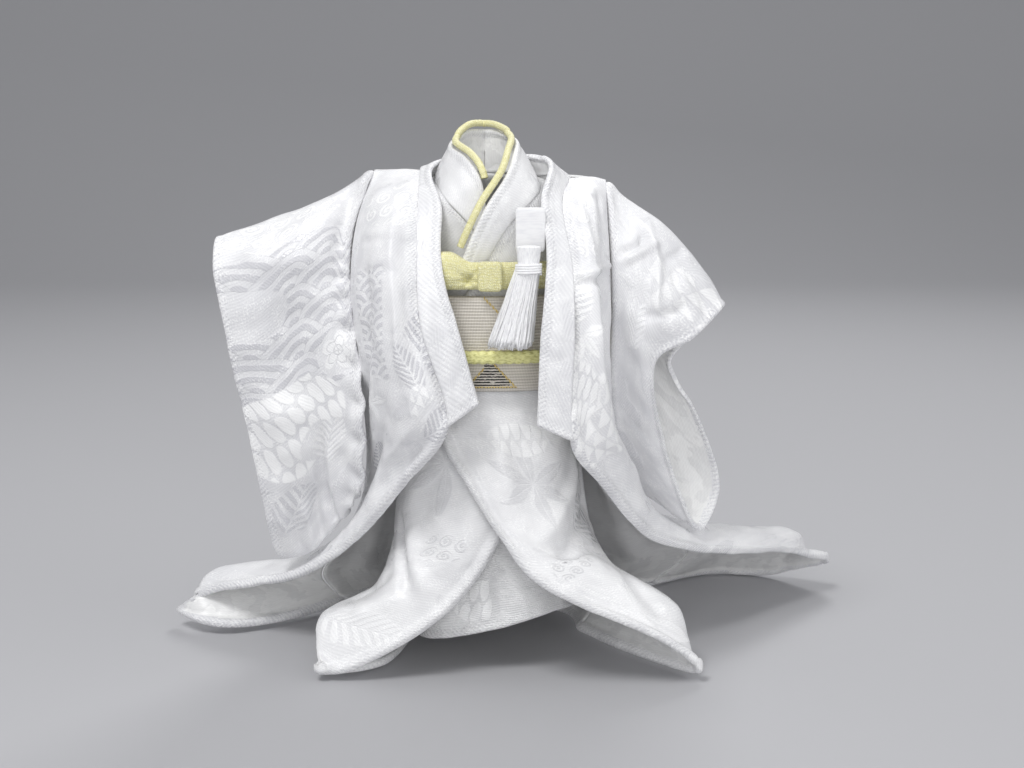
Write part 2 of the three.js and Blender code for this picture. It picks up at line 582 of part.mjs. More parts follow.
const KIMONO_BACK_RIGHT = [
  { side: [-15, 0.2, -2.8], blade: [-11.6, 0.2, -1.4], neck: [-7.4, 0.2, 0.2], centre: [-1.2, 6.4, 0.2] },
  { side: [-14.4, 3.4, -6], blade: [-12.4, 5.2, -5.6], neck: [-7, 8, -5], centre: [-1.2, 8.8, -5.2] },
  { side: [-13.6, 3.6, -11], blade: [-11.8, 6, -11], neck: [-7, 8.8, -11], centre: [-1.2, 9.8, -11] },
  { side: [-13, -0.3, -18], blade: [-11.4, 5.8, -18], neck: [-6.8, 9, -18], centre: [-1, 10, -18] },
  { side: [-13.3, -0.3, -28], blade: [-11.8, 6, -28], neck: [-7, 9.4, -28], centre: [-0.8, 10.4, -28] },
  {
    side: [-14, -0.3, -38], blade: [-12.8, 6.6, -38],
    neck: [-7.6, 10.8, -38.4], centre: [-0.6, 12, -38.8],
  },
  {
    side: [-15, 0.8, -47], blade: [-13.8, 7.6, -47.4],
    neck: [-8.2, 12, -48], centre: [-0.4, 13.2, -48.4],
  },
  {
    side: [-15.6, 2.2, -56], blade: [-14.4, 8.8, -56.6],
    neck: [-8.6, 13.2, -57.2], centre: [-0.2, 14.6, -57.6],
  },
  { side: [-16, 3.6, -64], blade: [-14.8, 10, -64.4], neck: [-8.8, 14.4, -65], centre: [0, 16, -65.2] },
  {
    side: [-16, 4.1, -70], blade: [-14.6, 10.6, -70],
    neck: [-8.6, 15.2, -70.2], centre: [0, 16.8, -70.4],
  },
  {
    side: [-13.6, 4.6, FLOOR], blade: [-13, 11, FLOOR],
    neck: [-8, 15.8, FLOOR], centre: [0, 17.4, FLOOR],
  },
];
const KIMONO_BACK_LEFT = [
  { side: [13.6, 0.2, -3], blade: [10, 0.2, -1.4], neck: [5, 0.2, 0.2], centre: [-1.2, 6.4, 0.2] },
  { side: [13, 3.4, -6], blade: [10.8, 5.2, -5.6], neck: [5, 8, -5], centre: [-1.2, 8.8, -5.2] },
  { side: [12.2, 3.6, -11], blade: [10.2, 6, -11], neck: [4.8, 8.8, -11], centre: [-1.2, 9.8, -11] },
  { side: [11.8, -0.3, -18], blade: [10, 5.8, -18], neck: [4.8, 9, -18], centre: [-1, 10, -18] },
  { side: [12, -0.3, -28], blade: [10.4, 6, -28], neck: [5.4, 9.4, -28], centre: [-0.8, 10.4, -28] },
  {
    side: [13.2, -0.3, -38], blade: [11.8, 6.6, -38],
    neck: [6.4, 10.8, -38.4], centre: [-0.6, 12, -38.8],
  },
  { side: [14.2, 0.8, -47], blade: [13, 7.6, -47.4], neck: [7.4, 12, -48], centre: [-0.4, 13.2, -48.4] },
  {
    side: [14.8, 2.2, -56], blade: [13.8, 8.8, -56.6],
    neck: [8.2, 13.2, -57.2], centre: [-0.2, 14.6, -57.6],
  },
  { side: [15.4, 3.6, -64], blade: [14.4, 10, -64.4], neck: [8.8, 14.4, -65], centre: [0, 16, -65.2] },
  {
    side: [15.6, 4.2, -70], blade: [14.4, 10.6, -70],
    neck: [8.6, 15.2, -70.2], centre: [0, 16.8, -70.4],
  },
  { side: [13.6, 4.6, FLOOR], blade: [13, 11, FLOOR], neck: [8, 15.8, FLOOR], centre: [0, 17.4, FLOOR] },
];
const KIMONO_FOLDS = [{ at: 0.6, to: 0.66, width: 0.12, depth: -0.5, from: 0.5, until: 0.95 }];

const kimono = bodyOf({
  fronts: [KIMONO_FRONT_RIGHT, KIMONO_FRONT_LEFT],
  backs: [KIMONO_BACK_RIGHT, KIMONO_BACK_LEFT],
  frontFolds: KIMONO_FOLDS,
  backFolds: [],
  sewnFrom: 3,
});
addPiece("kimono_front_right", kimono.rightSolids.front, WHITE_SATIN);
addPiece("kimono_front_left", kimono.leftSolids.front, WHITE_SATIN);
addPiece("kimono_back_right", kimono.rightSolids.back, WHITE_SATIN);
addPiece("kimono_back_left", kimono.leftSolids.back, WHITE_SATIN);

const KIMONO_COLLAR = [
  { free: [-2.4, 0.2, 3.6] },
  { free: [-1.6, 0.4, 4.2] },
  { free: [0.6, 0.9, 5] },
  { free: [2.2, 0.8, 5] },
  { free: [2.9, 0.8, 5] },
  { free: [2, 1.6, 5.4] },
  { free: [0.8, 2.3, 6] },
  { free: [0, 0.5, 6.3] },
  { free: [-1.2, 2.3, 6] },
  { free: [-3, 1.6, 5.8] },
  { free: [-4.2, 0.2, 5] },
  { free: [-4.6, -0.4, 4] },
  { free: [-5, -0.8, 2.4] },
  { free: [-4.9, -0.8, 1.6] },
  { free: [-4.4, -0.6, 1.4] },
];
const kimonoSeam = collarSeam(kimono, { right: 0.3, left: 0.3 });
const kimonoCollar = collarSurface(kimonoSeam, KIMONO_COLLAR, 0.3);
addPiece("kimono_collar", wallOver(gridOf(kimonoCollar, 3, 50), { inset: ["first"] }), WHITE_SATIN);

// The piping along the collar's free edge.
const PIPING = { radius: 0.55, gap: 0.45, reach: 0.02, sides: 6, along: 50, start: 0.2, end: 0.97 };

/** A ring of points about a centre, in the plane of two unit directions, with its own half sizes. */
function ringAbout(centre, across, away, halfAcross, halfAway, sides) {
  return Array.from({ length: sides }, (_, i) => {
    const angle = (2 * Math.PI * i) / sides;
    return centre
      .clone()
      .addScaledVector(across, halfAcross * Math.cos(angle))
      .addScaledVector(away, halfAway * Math.sin(angle));
  });
}

/** A cord along a line, line(t) being its centre; up gives the direction of its height. */
function cordAlong(line, { along, sides, halfWidth, halfHeight, start = 0, end = 1 }, up) {
  return Array.from({ length: along + 1 }, (_, k) => {
    const t = mix(start, end, k / along);
    const ahead = line(clamp01(t + 0.02)).sub(line(clamp01(t - 0.02))).normalize();
    const height = up(t).addScaledVector(ahead, -up(t).dot(ahead)).normalize();
    const across = height.clone().cross(ahead);
    return ringAbout(line(t), across, height, halfWidth, halfHeight, sides);
  });
}

const pipingUp = (t) => kimonoCollar(1, t).sub(kimonoCollar(0.8, t)).normalize();
const pipingLine = (t) => {
  const crown = kimonoCollar(1, t).addScaledVector(pipingUp(t), PIPING.radius + PIPING.gap);
  return crown.addScaledVector(normalAt(kimonoCollar, 1, t, 1, PIPING.reach), -WALL / 2);
};
addPiece(
  "kimono_collar_piping",
  rollOf(
    cordAlong(pipingLine, { ...PIPING, halfWidth: PIPING.radius, halfHeight: PIPING.radius }, pipingUp),
  ),
  PALE_YELLOW,
);

// The inner sleeves are plain and short, and lie inside the robe's.
const INNER_SLEEVE_COLUMNS = ["top", "front", "foot", "back"];
const KIMONO_SLEEVE_RIGHT = [
  {
    top: [-15.6, 0, -4.2], front: [-15.6, -3.1, -7.7],
    foot: [-15.6, 0, -11.3], back: [-15.6, 3.1, -7.7],
  },
  { top: [-21, -0.9, -6.2], front: [-21, -4, -11], foot: [-21, -0.9, -15.8], back: [-21, 2.2, -11] },
  { top: [-28, -2.6, -8.2], front: [-28, -5.7, -14.6], foot: [-28, -2.6, -21], back: [-28, 0.5, -14.6] },
];
const KIMONO_SLEEVE_LEFT = [
  { top: [14.2, 0, -4.2], front: [14.2, -3.1, -7.6], foot: [14.2, 0, -11.1], back: [14.2, 3.1, -7.6] },
  { top: [18.4, 0, -6.2], front: [18.4, -3.1, -10.6], foot: [18.4, 0, -15.2], back: [18.4, 2.6, -10.6] },
  { top: [23, -1.4, -9.2], front: [23, -4.5, -14.4], foot: [22.4, -1.4, -19.6], back: [23, 1.7, -14.4] },
];
const innerSleeve = (rows, turn) =>
  wallOver(gridOf(loft(rows, INNER_SLEEVE_COLUMNS, { closed: true }), 12, 3, true), {
    turn,
    closed: true,
    wall: 0.8,
  });
addPiece("kimono_sleeve_right", innerSleeve(KIMONO_SLEEVE_RIGHT, -1), WHITE_SATIN);
addPiece("kimono_sleeve_left", innerSleeve(KIMONO_SLEEVE_LEFT, 1), WHITE_SATIN);

// ---------------------------------------------------------------- the underskirt and the belt

const LOOP_COLUMNS = ["front", "frontLeft", "left", "backLeft", "back", "backRight", "right", "frontRight"];
const UNDERSKIRT = [
  {
    front: [-0.6, -9.9, -44], frontLeft: [7.6, -7.6, -44], left: [11.2, 0.4, -44],
    backLeft: [8, 7.2, -44], back: [-0.4, 9.6, -44], backRight: [-8.8, 7.2, -44], right: [-12, 0.4, -44],
    frontRight: [-8.6, -7.4, -44],
  },
  {
    front: [-0.6, -10.8, -56], frontLeft: [9, -8.2, -56], left: [12.2, 0.4, -56], backLeft: [9, 8, -56],
    back: [-0.2, 11.2, -56], backRight: [-9.8, 8, -56], right: [-13, 0.4, -56],
    frontRight: [-9.8, -8.2, -56],
  },
  {
    front: [0.4, -12, -67.6], frontLeft: [10, -9, -65.6], left: [12.8, 0.4, -68],
    backLeft: [9.6, 8.6, -70], back: [0, 12, -71], backRight: [-10.4, 8.6, -71],
    right: [-13.2, 0.4, -71], frontRight: [-9.8, -9.2, -70],
  },
];
const BELT = [
  {
    front: [-1, -13.7, -16.8], frontLeft: [8.8, -11.2, -16.8],
    left: [13.6, -0.9, -17], backLeft: [9.6, 8.6, -17],
    back: [-1, 12.2, -17], backRight: [-11.2, 8.6, -17],
    right: [-15, -0.9, -17], frontRight: [-11, -11.2, -16.8],
  },
  {
    front: [-1, -14, -23.6], frontLeft: [8.8, -11.6, -23.6],
    left: [13.7, -0.9, -23.6], backLeft: [9.8, 8.8, -23.6],
    back: [-1, 12.4, -23.6], backRight: [-11.4, 8.8, -23.6],
    right: [-15, -0.9, -23.6], frontRight: [-11, -11.6, -23.6],
  },
  {
    front: [-1, -14.2, -30.6], frontLeft: [9, -11.8, -30.6],
    left: [14.2, -0.9, -30.6], backLeft: [10.2, 9.2, -30.6],
    back: [-1, 12.8, -30.6], backRight: [-11.8, 9.2, -30.6],
    right: [-15.4, -0.9, -30.6], frontRight: [-11.2, -11.8, -30.6],
  },
];
const loopSurface = (rows) => loft(rows, LOOP_COLUMNS, { closed: true });
const loopWall = (surface, around, along) =>
  wallOver(gridOf(surface, around, along, true), { turn: -1, closed: true });
const belt = loopSurface(BELT);
addPiece("underskirt", loopWall(loopSurface(UNDERSKIRT), 24, 4), WHITE_BROCADE);
addPiece("obi", loopWall(belt, 28, 2), BELT_WEAVE);

/** A round or flat roll that lies against the belt all the way round, standing off from it. */
function rollRoundBelt({ standOff, level, around, sides, halfHeight, halfWidth }) {
  return Array.from({ length: around }, (_, k) => {
    const t = k / around;
    const outwards = normalAt(belt, t, 0.5, -1).setZ(0).normalize();
    const centre = belt(t, 0.5).addScaledVector(outwards, standOff(t)).setZ(level(t));
    return ringAbout(centre, UP, outwards, halfHeight(t), halfWidth(t), sides);
  });
}

const CORD = { halfWidth: 0.75, halfHeight: 1.05, level: -25.4 };
addPiece(
  "obi_cord",
  rollOf(
    rollRoundBelt({
      standOff: () => CORD.halfWidth + SEAM,
      level: () => CORD.level,
      around: 40,
      sides: 6,
      halfHeight: () => CORD.halfHeight,
      halfWidth: () => CORD.halfWidth,
    }),
    { ring: true },
  ),
  PALE_YELLOW,
);

// The sash over the belt's top edge is fullest beside its knot and narrow under it.
const SASH = { level: -13.9, thick: 0.8, tall: 2.35, knotAt: 0.985, pinch: 0.45, pinchWidth: 0.022 };
const sashPinch = (t) => {
  const away = Math.min(Math.abs(t - SASH.knotAt), 1 - Math.abs(t - SASH.knotAt));
  return 1 - SASH.pinch * Math.exp(-((away / SASH.pinchWidth) ** 2));
};
addPiece(
  "obi_sash",
  rollOf(
    rollRoundBelt({
      standOff: () => -0.35,
      level: () => SASH.level,
      around: 44,
      sides: 8,
      halfHeight: (t) => SASH.tall * sashPinch(t),
      halfWidth: () => SASH.thick,
    }),
    { ring: true },
  ),
  PALE_YELLOW,
);

/** A soft, squashed ball: rings of points stacked along X about its middle. */
function pillow(middle, half, rings, sides, power = 2) {
  const stack = [];
  for (let k = 0; k <= rings; k++) {
    const along = mix(-0.94, 0.94, k / rings);
    const girth = (1 - Math.abs(along) ** power) ** (1 / power);
    const centre = vector(middle).add(new THREE.Vector3(half[0] * along, 0, 0));
    stack.push(
      ringAbout(centre, new THREE.Vector3(0, 1, 0), UP, half[1] * girth, half[2] * girth, sides),
    );
  }
  return stack;
}
addPiece("obi_sash_knot", rollOf(pillow([-2.6, -16, -14.2], [1.7, 0.95, 1.9], 6, 10, 2.4)), PALE_YELLOW);

// The dagger case is a flat silk bag that is tucked in at the breast, with its tassel in front.
addPiece("dagger_case", rollOf(pillow([5.3, -13.6, -7.8], [1.95, 0.7, 3.1], 8, 12, 6)), WHITE_SILK);

const TASSEL = {
  head: { middle: [5.3, -16.8, -12], radius: 1.9, tall: 2.0 },
  wrap: { level: -13.7, radius: 1.75, tall: 0.45 },
  strands: 34,
  strandRadius: 0.17,
  top: -13.35,
  length: 12.2,
  spread: 2.2,
  lean: -2.2,
};

/** The tassel's head, wrap and strands as one solid; each strand's root is fused into the head. */
function tasselSolid({ head, wrap, strands, strandRadius, top, length, spread, lean }) {
  const [x, y] = head.middle;
  const [right, ahead] = [new THREE.Vector3(1, 0, 0), new THREE.Vector3(0, -1, 0)];
  const ringAt = ([z, r]) => ringAbout(new THREE.Vector3(x, y, z), right, ahead, r, r * 0.62, 14);
  const stack = (rows) => solidOf(rollOf(rows.map(ringAt)));
  const domed = [-1, -0.5, 0, 0.5, 0.85, 1].map((s) => [
    head.middle[2] + s * head.tall,
    head.radius * Math.sqrt(1.06 - 0.72 * Math.max(s, 0) ** 2 - 0.24 * Math.max(-s, 0) ** 2),
  ]);
  let solid = stack(domed.reverse());
  const band = [wrap.tall, wrap.tall * 0.5, -wrap.tall * 0.5, -wrap.tall].map((dz, k) => [
    wrap.level + dz, wrap.radius + (k === 1 || k === 2 ? 0.3 : 0)]);
  solid = solid.add(stack(band));
  const golden = Math.PI * (3 - Math.sqrt(5));
  for (let i = 0; i < strands; i++) {
    const r = Math.sqrt((i + 0.5) / strands);
    const [ca, sa] = [Math.cos(i * golden), Math.sin(i * golden)];
    const root = new THREE.Vector3(x + 1.45 * r * ca, y + 0.85 * r * sa, top);
    const drop = length * (0.93 + 0.07 * Math.sin(i * 2.3));
    const line = (t) =>
      new THREE.Vector3(
        root.x + (spread * r * ca * 0.9 + lean) * t + 0.1 * Math.sin(5 * t + i),
        root.y + (0.1 + 0.3 * r * sa) * t,
        root.z - drop * t,
      );
    const cord = cordAlong(line, { along: 3, sides: 3, halfWidth: strandRadius, halfHeight: strandRadius },
      () => new THREE.Vector3(0, -1, 0));
    solid = solid.add(solidOf(rollOf(cord)));
  }
  return geometryOfSolid(solid.simplify(MERGE));
}
addPiece("tassel", tasselSolid(TASSEL), WHITE_SILK);

export default part;
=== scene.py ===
"""A doll's shiromuku, the white Japanese bridal ensemble, in satin, damask and braid.

It has a long outer robe with wide sleeves, a wrapped inner kimono with a piped collar, an underskirt,
a belt with its sash and cord, and a dagger case with a tassel. Every piece of cloth is a thin closed
shell over a surface that is lofted through a short table of sections, with its creases laid on one by one.
Sizes in the tables are in millimetres. +Z is up, -Y is the front, and +X is the wearer's left.
"""

import logging
import math
from collections.abc import Callable
from dataclasses import dataclass, field
from enum import Enum

import bpy
import numpy as np
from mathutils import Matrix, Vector


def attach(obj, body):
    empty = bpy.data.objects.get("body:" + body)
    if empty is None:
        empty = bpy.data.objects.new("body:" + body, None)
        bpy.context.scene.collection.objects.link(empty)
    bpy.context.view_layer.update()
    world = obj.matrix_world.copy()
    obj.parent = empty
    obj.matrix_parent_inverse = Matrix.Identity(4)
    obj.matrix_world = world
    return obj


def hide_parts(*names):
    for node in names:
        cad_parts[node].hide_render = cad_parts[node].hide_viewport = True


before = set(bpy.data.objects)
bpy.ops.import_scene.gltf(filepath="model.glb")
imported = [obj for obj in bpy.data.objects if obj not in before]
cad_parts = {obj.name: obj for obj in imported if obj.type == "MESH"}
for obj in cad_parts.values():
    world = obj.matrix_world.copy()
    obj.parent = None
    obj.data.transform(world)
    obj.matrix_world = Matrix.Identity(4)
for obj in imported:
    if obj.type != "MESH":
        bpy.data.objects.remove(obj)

log = logging.getLogger("shiromuku")
Array = np.ndarray
Material = bpy.types.Material
Pair = tuple[float, float]
Place = tuple[float, float, float]
Shade = tuple[int, int, int]
Line = Callable[[Array], Array]

MM = 0.001  # one millimetre in metres
CLOTH = 0.3  # half the thickness of lined cloth
SKIN = 0.05  # how deep the cloth's outer face lies under the solid's
ABSENT = (math.nan, math.nan, math.nan)  # a column whose line comes from a neighbour
UV_SPAN = 100.0  # millimetres of cloth to one unit of a UV map

# ---------------------------------------------------------------- sections


def table(*rows: tuple) -> Array:
    """A table of sections as an array of rows x columns x 3."""
    return np.array(rows, dtype=float)


ROBE_FRONT_RIGHT = table(
    ((-10.6, -0.2, 0.8), (-13, -0.2, 0.9), (-15.5, -0.3, 0.9), (-17.6, -0.4, 0.7)),
    ((-10.5, -9, -4.2), (-13.3, -9.4, -4.2), (-17.2, -8.2, -4.7), (-20, -4.5, -6.9)),
    ((-10.2, -15, -12.2), (-13.2, -15.6, -12.2), (-18, -13.2, -12.8), (-20.8, -7, -15.2)),
    ((-9.3, -18, -21), (-12.6, -18.6, -20.9), (-17.4, -15.4, -21.9), (-20.4, -7, -24.9)),
    ((-5.9, -18.4, -34.7), (-10.8, -18.8, -33.6), (-16.5, -14.8, -33.8), (-19.6, -2, -38.5)),
    ((-13, -14.8, -44.5), (-15.2, -12.4, -42), (-18, -7.5, -42.6), (-20.4, 2.6, -48)),
    ((-20.6, -8, -54.3), (-22.1, -4.5, -53.2), (-22.6, 2.6, -54.6), (-22.4, 7.4, -55)),
    ((-31.7, -1, -62.5), (-31.4, 7, -62.2), (-28.4, 11.4, -62.4), (-26.4, 14, -62.6)),
    ((-46, 5.5, -67.5), (-47.1, 10, -65.9), (-36.4, 14, -67.6), (-29.6, 16, -68.4)),
    ((-53.7, 9.6, -72.3), (-45.7, 4.4, -73.4), (-36.8, 7.2, -74), (-25.8, 16.6, -74)),
)
ROBE_FRONT_LEFT = table(
    ((11.5, -0.2, -0.4), (13.5, -0.2, -0.2), (15.3, -0.3, -0.2), (17.1, -0.4, -0.7)),
    ((10, -9.4, -4.2), (12.8, -9.2, -4.2), (15.5, -7, -4.7), (17.2, -4, -6.4)),
    ((11.2, -16.2, -12.1), (13.9, -15.6, -12.2), (16.4, -12, -13), (17.6, -6, -14.6)),
    ((11.4, -19.6, -20.7), (14.4, -18.6, -20.9), (16.8, -14, -21.9), (17.6, -6, -24.3)),
    ((11.4, -20, -36.4), (15.2, -17.8, -34.6), (18.1, -13, -33.4), (17.8, -1.6, -38)),
    ((16.3, -15.6, -44.3), (19.1, -12.4, -41.4), (21.7, -7, -42.7), (16.6, 2.4, -47)),
    ((24, -7.4, -54.4), (25.8, -4, -52.4), (25.6, 3.6, -53), (21.6, 8.4, -55)),
    ((35.3, 2, -59.7), (36.6, 9.4, -58.2), (34, 15, -58.8), (27.4, 17.4, -60.6)),
    ((51, 16.6, -64.4), (53.4, 23.4, -63.2), (46, 26.4, -64.4), (34, 25, -67)),
    ((60.7, 25, -67.9), (50.3, 32.8, -73.8), (39.5, 34.6, -74), (28, 28.5, -74)),
)
ROBE_BACK_RIGHT = table(
    ((-17.6, 0.2, 0.7), (-14, 0.2, 0.9), (-10.6, 0.2, 0.8), (-0.6, 10.4, -1.2)),
    ((-20.4, 2.8, -7), (-16.4, 7.4, -5.6), (-9.8, 11, -5.2), (-0.5, 13, -6)),
    ((-21, 4, -15.5), (-17, 10.4, -15), (-9.5, 14, -15.4), (-0.4, 15.4, -16)),
    ((-20.6, 3.2, -26), (-16.8, 11, -26.6), (-9.4, 15.6, -27), (-0.2, 17, -28)),
    (ABSENT, (-18, 10.4, -38.8), (-10.4, 16.4, -39.6), (0, 18.4, -40.5)),
    (ABSENT, (-19.2, 11.6, -48.6), (-11.6, 18.2, -50), (0, 20.8, -51)),
    (ABSENT, (-20.2, 14.6, -55.6), (-12, 20.8, -57), (0, 23.4, -57.8)),
    (ABSENT, (-21.8, 19.4, -62.4), (-13, 24.4, -63.6), (0, 26.8, -64.2)),
    (ABSENT, (-23.6, 22, -68.8), (-13.4, 28, -69.6), (0, 30.8, -70)),
    (ABSENT, (-19.6, 24.6, -74), (-10.6, 31.2, -74), (0, 34, -74)),
)
ROBE_BACK_LEFT = table(
    ((17, 0.2, -0.7), (13, 0.2, 0), (8.8, 0.2, 0), (-0.6, 10.4, -1.2)),
    ((17.6, 2.8, -6), (14.6, 7, -5.2), (8.8, 11, -5.2), (-0.5, 13, -6)),
    ((18, 4, -15.5), (15.2, 10, -15), (8.6, 14, -15.4), (-0.4, 15.4, -16)),
    ((17.8, 3.4, -26), (15.6, 10.8, -26.6), (9, 15.6, -27), (-0.2, 17, -28)),
    (ABSENT, (16.8, 10.2, -38.8), (10.2, 16.4, -39.6), (0, 18.4, -40.5)),
    (ABSENT, (18.6, 11.8, -48), (11.6, 18.2, -50), (0, 20.8, -51)),
    (ABSENT, (20.6, 15.4, -55), (12.2, 20.8, -56.8), (0, 23.4, -57.8)),
    (ABSENT, (22.6, 20.8, -61.8), (13.2, 24.6, -63.4), (0, 26.8, -64.2)),
    (ABSENT, (25, 25.6, -68.4), (13.8, 28.8, -69.4), (0, 30.8, -70)),
    (ABSENT, (20, 29.6, -74), (10.6, 32.6, -74), (0, 34, -74)),
)
KIMONO_FRONT_RIGHT = table(
    ((-8.6, -0.2, -0.6), (-10.6, -0.2, -1.2), (-12.6, -0.3, -1.9), (-14.6, -0.4, -2.8)),
    ((-6.5, -8.2, -3), (-9.4, -6.8, -4.5), (-12.2, -4.6, -5), (-14, -3.4, -6)),
    ((-2.4, -10.4, -7.4), (-7.4, -9, -9), (-11, -6, -10), (-13.4, -3.6, -11)),
    ((2.6, -9.4, -15.5), (-4, -9.7, -16.5), (-9.8, -7.2, -17), (-13, -0.9, -18)),
    ((5, -9.2, -26), (-2.6, -9.9, -27), (-9.8, -7.6, -27), (-13.3, -0.9, -28)),
    ((5.4, -10.6, -36), (-2.8, -11.4, -37), (-10.6, -8.8, -37), (-14, -0.9, -38)),
    ((4.6, -12, -45), (-4, -12.6, -46), (-12, -9, -46), (-15, 0.2, -47)),
    ((-1.1, -13.6, -57.5), (-6.4, -13.8, -54.4), (-14.2, -9, -54.5), (-15.8, 1.6, -56)),
    ((-9.1, -14.8, -65.9), (-14.9, -12.6, -62.5), (-18.8, -7, -62.6), (-16.4, 3.6, -63)),
    ((-21.7, -15, -72.9), (-26.1, -11, -68.5), (-25.9, -5, -67.3), (-17, 5, -69)),
    ((-28.3, -13.2, -73.1), (-24.6, -14.1, -73.8), (-16.3, -9.8, -74), (-12.6, 4, -74)),
)
KIMONO_FRONT_LEFT = table(
    ((6.6, -0.2, -0.4), (8.8, -0.2, -1.2), (11.2, -0.3, -2), (13.6, -0.4, -3)),
    ((6.6, -7.6, -2.4), (8.8, -7.2, -4.6), (11, -4.8, -5.2), (12.6, -3.4, -6)),
    ((2.1, -11.6, -7.3), (6, -10.2, -10.6), (9.8, -6.6, -10.8), (12, -3.6, -11)),
    ((-1.6, -11.6, -13.6), (4, -11.2, -17), (9.2, -7.6, -17.4), (11.8, -0.9, -18)),
    ((-8.2, -10.6, -25), (1, -11.6, -27), (8.6, -8.6, -27.2), (12, -0.9, -28)),
    ((-7.8, -12.6, -36.5), (2, -13.6, -37), (9.8, -10.6, -37.4), (13.2, -0.9, -38)),
    ((-3.7, -15.2, -43.9), (4.6, -15, -45.4), (11.4, -10.4, -46.2), (14.2, 0.2, -47)),
    ((1, -16.8, -51), (9, -15.6, -53.8), (15, -9, -54.6), (15.4, 1.6, -56)),
    ((7.6, -18.4, -58.6), (13.5, -15.4, -55.7), (18.2, -8, -57.8), (16.6, 3.6, -63)),
    ((24, -17.6, -66.2), (28.4, -13, -66.5), (27.6, -7, -65.2), (17.4, 5, -69)),
    ((32.8, -14.6, -72), (29.9, -12.6, -73.8), (20.3, -3.9, -74), (14, 4, -74)),
)
KIMONO_BACK_RIGHT = table(
    ((-15, 0.2, -2.8), (-11.6, 0.2, -1.4), (-7.4, 0.2, 0.2), (-1.2, 6.4, 0.2)),
    ((-14.4, 3.4, -6), (-12.4, 5.2, -5.6), (-7, 8, -5), (-1.2, 8.8, -5.2)),
    ((-13.6, 3.6, -11), (-11.8, 6, -11), (-7, 8.8, -11), (-1.2, 9.8, -11)),
    ((-13, -0.3, -18), (-11.4, 5.8, -18), (-6.8, 9, -18), (-1, 10, -18)),
    ((-13.3, -0.3, -28), (-11.8, 6, -28), (-7, 9.4, -28), (-0.8, 10.4, -28)),
    ((-14, -0.3, -38), (-12.8, 6.6, -38), (-7.6, 10.8, -38.4), (-0.6, 12, -38.8)),
    ((-15, 0.8, -47), (-13.8, 7.6, -47.4), (-8.2, 12, -48), (-0.4, 13.2, -48.4)),
    ((-15.6, 2.2, -56), (-14.4, 8.8, -56.6), (-8.6, 13.2, -57.2), (-0.2, 14.6, -57.6)),
    ((-16, 3.6, -64), (-14.8, 10, -64.4), (-8.8, 14.4, -65), (0, 16, -65.2)),
    ((-16, 4.1, -70), (-14.6, 10.6, -70), (-8.6, 15.2, -70.2), (0, 16.8, -70.4)),
    ((-13.6, 4.6, -74), (-13, 11, -74), (-8, 15.8, -74), (0, 17.4, -74)),
)
KIMONO_BACK_LEFT = table(
    ((13.6, 0.2, -3), (10, 0.2, -1.4), (5, 0.2, 0.2), (-1.2, 6.4, 0.2)),
    ((13, 3.4, -6), (10.8, 5.2, -5.6), (5, 8, -5), (-1.2, 8.8, -5.2)),
    ((12.2, 3.6, -11), (10.2, 6, -11), (4.8, 8.8, -11), (-1.2, 9.8, -11)),
    ((11.8, -0.3, -18), (10, 5.8, -18), (4.8, 9, -18), (-1, 10, -18)),
    ((12, -0.3, -28), (10.4, 6, -28), (5.4, 9.4, -28), (-0.8, 10.4, -28)),
    ((13.2, -0.3, -38), (11.8, 6.6, -38), (6.4, 10.8, -38.4), (-0.6, 12, -38.8)),
    ((14.2, 0.8, -47), (13, 7.6, -47.4), (7.4, 12, -48), (-0.4, 13.2, -48.4)),
    ((14.8, 2.2, -56), (13.8, 8.8, -56.6), (8.2, 13.2, -57.2), (-0.2, 14.6, -57.6)),
    ((15.4, 3.6, -64), (14.4, 10, -64.4), (8.8, 14.4, -65), (0, 16, -65.2)),
    ((15.6, 4.2, -70), (14.4, 10.6, -70), (8.6, 15.2, -70.2), (0, 16.8, -70.4)),
    ((13.6, 4.6, -74), (13, 11, -74), (8, 15.8, -74), (0, 17.4, -74)),
)
SLEEVE_RIGHT = table(
    ((-17.7, -0.4, 0.5), (-20.1, -5, -7.4), (-20.7, -8, -17), (-19.2, -10.2, -33), (-20.4, -7.2, -47.6),
     (-22.2, -0.4, -51.8), (-21.8, 1, -47.6), (-21.2, 2.2, -33), (-22, 3.4, -17), (-21.4, 3.2, -8)),
    ((-25.2, -1.2, -3.6), (-27, -8, -9.6), (-27, -8.6, -19), (-26, -7, -34), (-26, -2.2, -52),
     (-26.4, 0.4, -57), (-26.6, 2.6, -52), (-26.8, 2.2, -34), (-27.2, 2.8, -19), (-26.8, 2.8, -10)),
    ((-33.2, -2.4, -6.6), (-34, -8, -12.2), (-33.2, -8.2, -22), (-31.6, -6, -37), (-30.4, -1.6, -55.4),
     (-30, 1, -60.2), (-30.6, 3.2, -55.4), (-31.8, 1.6, -37), (-33.6, 1.6, -22), (-34, 1.6, -12.6)),
    ((-41.2, -3.4, -9.4), (-40.8, -7, -14.6), (-39.2, -7, -25), (-37, -4.6, -40), (-35, -1.2, -56.4),
     (-34, 1.2, -60.4), (-34.9, 1.8, -56.4), (-37.2, 0, -42), (-39.4, 0.6, -25), (-41.2, 0.4, -15)),
)
